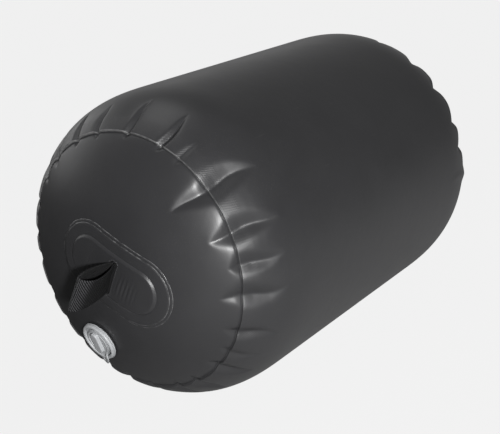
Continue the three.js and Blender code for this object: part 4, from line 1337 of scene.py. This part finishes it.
class FENDER_OT_valve(bpy.types.Operator):
    """Turn the valve's flange, gasket, cap, tether and spring"""

    bl_idname = "fender.make_valve"
    bl_label = "Make Valve"

    def execute(self, context):
        self.valve = context.scene.fender_valve
        self.place = valve_frame(context.scene.fender_body, self.valve)
        self.make_flange()
        self.make_gasket()
        self.make_cap()
        self.make_tether()
        self.make_spring()
        return {"FINISHED"}

    def settle(self, name, parts, material, body, slot, node, sharp_angle=40):
        """Joins parts drawn in mm on the valve's own axes, and places and finishes them as one piece."""
        piece = new_piece(name, *join_parts([(np.asarray(p, float) * MM, f) for p, f in parts]))
        piece.data.transform(self.place)
        recalculated(piece)
        shaded(piece, sharp_angle)
        give_material(piece, material)
        finish_piece(piece, body, slot, node)

    def make_flange(self):
        """Flange with a rounded rim, the stem behind it, and a hub on three arms that guides the poppet."""
        steps = self.valve.steps
        outer, rim = self.valve.flange_radius / MM, self.valve.rim_width / MM
        inner, middle = outer - rim, outer - rim / 2
        foot, neck = 0.6, outer - 1.4
        crown = [(middle + rim / 2 * math.cos(t), 4.9 + 2.3 * math.sin(t))
                 for t in np.linspace(0, math.pi, 15)]
        flange = rounded_profile([(20, foot), (outer, foot), (outer, 1.2), (neck, 1.2), (neck, 3.2),
                                  (outer, 3.2)], 0.25, 3) + crown + rounded_profile(
            [(inner, 1.8), (14.2, 1.8), (14.2, -0.2), (16, -0.2), (16, -11.5), (12, -11.5), (12, -14),
             (20, -14)], 0.3, 3)
        hub = lathe(rounded_profile([(3.4, -11.4), (5.6, -11.4), (5.6, -9), (3.4, -9)], 0.3, 3), 48)
        arms = [ring_block(5, 16.4, -11.4, -9, 120 * k, 16) for k in range(3)]
        self.settle("valve_flange", [lathe(flange, steps), hub, *arms], "grey_plastic", "fender",
                    "valve_plastic", "valve_body")

    def make_gasket(self):
        outer = self.valve.flange_radius / MM + 0.5
        ring = rounded_profile([(20.4, -1.2), (outer, -1.2), (outer, 0.3), (20.4, 0.3)], 0.5)
        self.settle("gasket", [lathe(ring, self.valve.steps)], "black_rubber", "fender", "seal_rubber",
                    "valve_gasket")

    def make_cap(self):
        """Cap with a skirt that fits inside the stem, a groove for the tether, a grip bar and two lugs."""
        steps, radius = self.valve.steps, self.valve.cap_radius / MM
        waist = radius - 2
        disc = rounded_profile([(0.02, 3.6), (11, 3.6), (11, -2.6), (13.8, -2.6), (13.8, 3.6),
                                (waist, 3.6), (waist, 5.6), (radius, 5.6), (radius, 6.8), (waist, 6.8),
                                (waist, 5.3), (0.02, 5.3)], 0.35, 3)
        half = np.array([self.valve.grip_length, self.valve.grip_width]) / MM / 2
        sections = [(-0.5, 5.0), (-0.4, 5.5), (-0.1, 5.9), (0, 6.6), (0, 8.9), (0.25, 9.55), (0.8, 10),
                    (1.5, 10.2), (2.6, 10.2)]
        bar = loft([flat_ring(rounded_outline(half - by, half[1] - by - 0.01, 64), z)
                    for by, z in sections])
        lugs = [ring_block(13, 15.6, -2.6, -0.5, 180 * k, 22) for k in range(2)]
        self.settle("cap", [lathe(disc, steps), bar, *lugs], "grey_plastic", "cap", "valve_plastic",
                    "valve_cap")

    def make_tether(self):
        """A ring round the cap, one round the flange and a band between, by angle, radius and level."""
        steps, thick, half_wide = self.valve.steps, 1.4, 2.2
        cap, outer = self.valve.cap_radius / MM, self.valve.flange_radius / MM
        start = outer - 1
        rings = []
        for inside, outside, bottom in ((cap - 1.6, cap + 1.6, 3.9), (start, start + 1.8, 1.5)):
            top = bottom + thick
            rings.append(lathe(rounded_profile([(inside, bottom), (outside, bottom), (outside, top),
                                                (inside, top)], 0.3), steps))
        route = [(148, start + 2.5, 2.2), (156, start + 3.4, 2.2), (170, 35.7, 4.65), (183, 36.5, 6.65),
                 (193, outer + 2.2, 8), (200, outer - 2.6, 8.4), (201, outer - 6.6, 7.2),
                 (201, cap + 1, 4.6)]
        points = [(r * math.cos(math.radians(a)), r * math.sin(math.radians(a)), z) for a, r, z in route]
        path = smooth_path(points, 8)
        section = rounded_profile([(half_wide, -thick / 2), (half_wide, thick / 2),
                                   (-half_wide, thick / 2), (-half_wide, -thick / 2)], 0.5)
        band = []
        for middle, ahead in zip(path, np.gradient(path, axis=0)):
            ahead = ahead / np.linalg.norm(ahead)
            side = np.cross((0, 0, 1), ahead)
            side /= np.linalg.norm(side)
            up = np.cross(ahead, side)
            band.append([middle + side * x + up * z for x, z in section])
        self.settle("tether", [*rings, loft(band)], "grey_plastic", "fender", "valve_plastic",
                    "cap_tether", sharp_angle=50)

    def make_spring(self):
        wire, turns = 0.00045, 3.5
        bottom, top = -0.0087 + wire, -0.0015 - wire
        piece = new_piece("spring", [(0, 0, 0)], [])
        run_tree(piece, make_coil_tree(), Coil_Radius=0.00415, Wire_Radius=wire, Turns=turns,
                 Height=top - bottom, Bottom=bottom, Material=material_of("steel_wire"))
        piece.data.transform(self.place)
        recalculated(piece)
        finish_piece(piece, "fender", "spring_steel", "poppet_spring")
        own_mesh(piece)


class FENDER_OT_frame_finishes(bpy.types.Operator):
    """Give the carried-over parts inside the valve their finishes"""

    bl_idname = "fender.dress_frame"
    bl_label = "Dress Frame"

    def execute(self, context):
        for material, slot, nodes in (("grey_plastic", "valve_plastic", ("valve_back_nut", "valve_poppet")),
                                      ("black_rubber", "seal_rubber", ("cap_seal", "poppet_seal"))):
            for node in nodes:
                give_material(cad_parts[node], material)
        return {"FINISHED"}


class FENDER_PT_build(bpy.types.Panel):
    """Lists the steps that build the fender"""

    bl_label = "Boat Fender"
    bl_idname = "FENDER_PT_build"
    bl_space_type = "VIEW_3D"
    bl_region_type = "UI"
    bl_category = "Fender"

    def draw(self, context):
        for settings in SETTINGS:
            box = self.layout.box()
            group = getattr(context.scene, settings)
            for name in group.__annotations__:
                box.prop(group, name)
        for operator in OPERATORS:
            self.layout.operator(operator.bl_idname)


OPERATORS = (FENDER_OT_finishes, FENDER_OT_stage, FENDER_OT_body, FENDER_OT_patches, FENDER_OT_strap,
             FENDER_OT_valve, FENDER_OT_frame_finishes)


def register():
    for name, group in SETTINGS.items():
        bpy.utils.register_class(group)
        setattr(bpy.types.Scene, name, PointerProperty(type=group))
    for operator in OPERATORS:
        bpy.utils.register_class(operator)
    bpy.utils.register_class(FENDER_PT_build)


def unregister():
    bpy.utils.unregister_class(FENDER_PT_build)
    for operator in reversed(OPERATORS):
        bpy.utils.unregister_class(operator)
    for name, group in reversed(SETTINGS.items()):
        delattr(bpy.types.Scene, name)
        bpy.utils.unregister_class(group)


def main():
    register()
    for step in ("make_finishes", "make_stage", "make_body", "make_patches", "make_strap", "make_valve",
                 "dress_frame"):
        if getattr(bpy.ops.fender, step)() != {"FINISHED"}:
            raise RuntimeError(f"{step} did not finish")


if __name__ == "__main__":
    main()
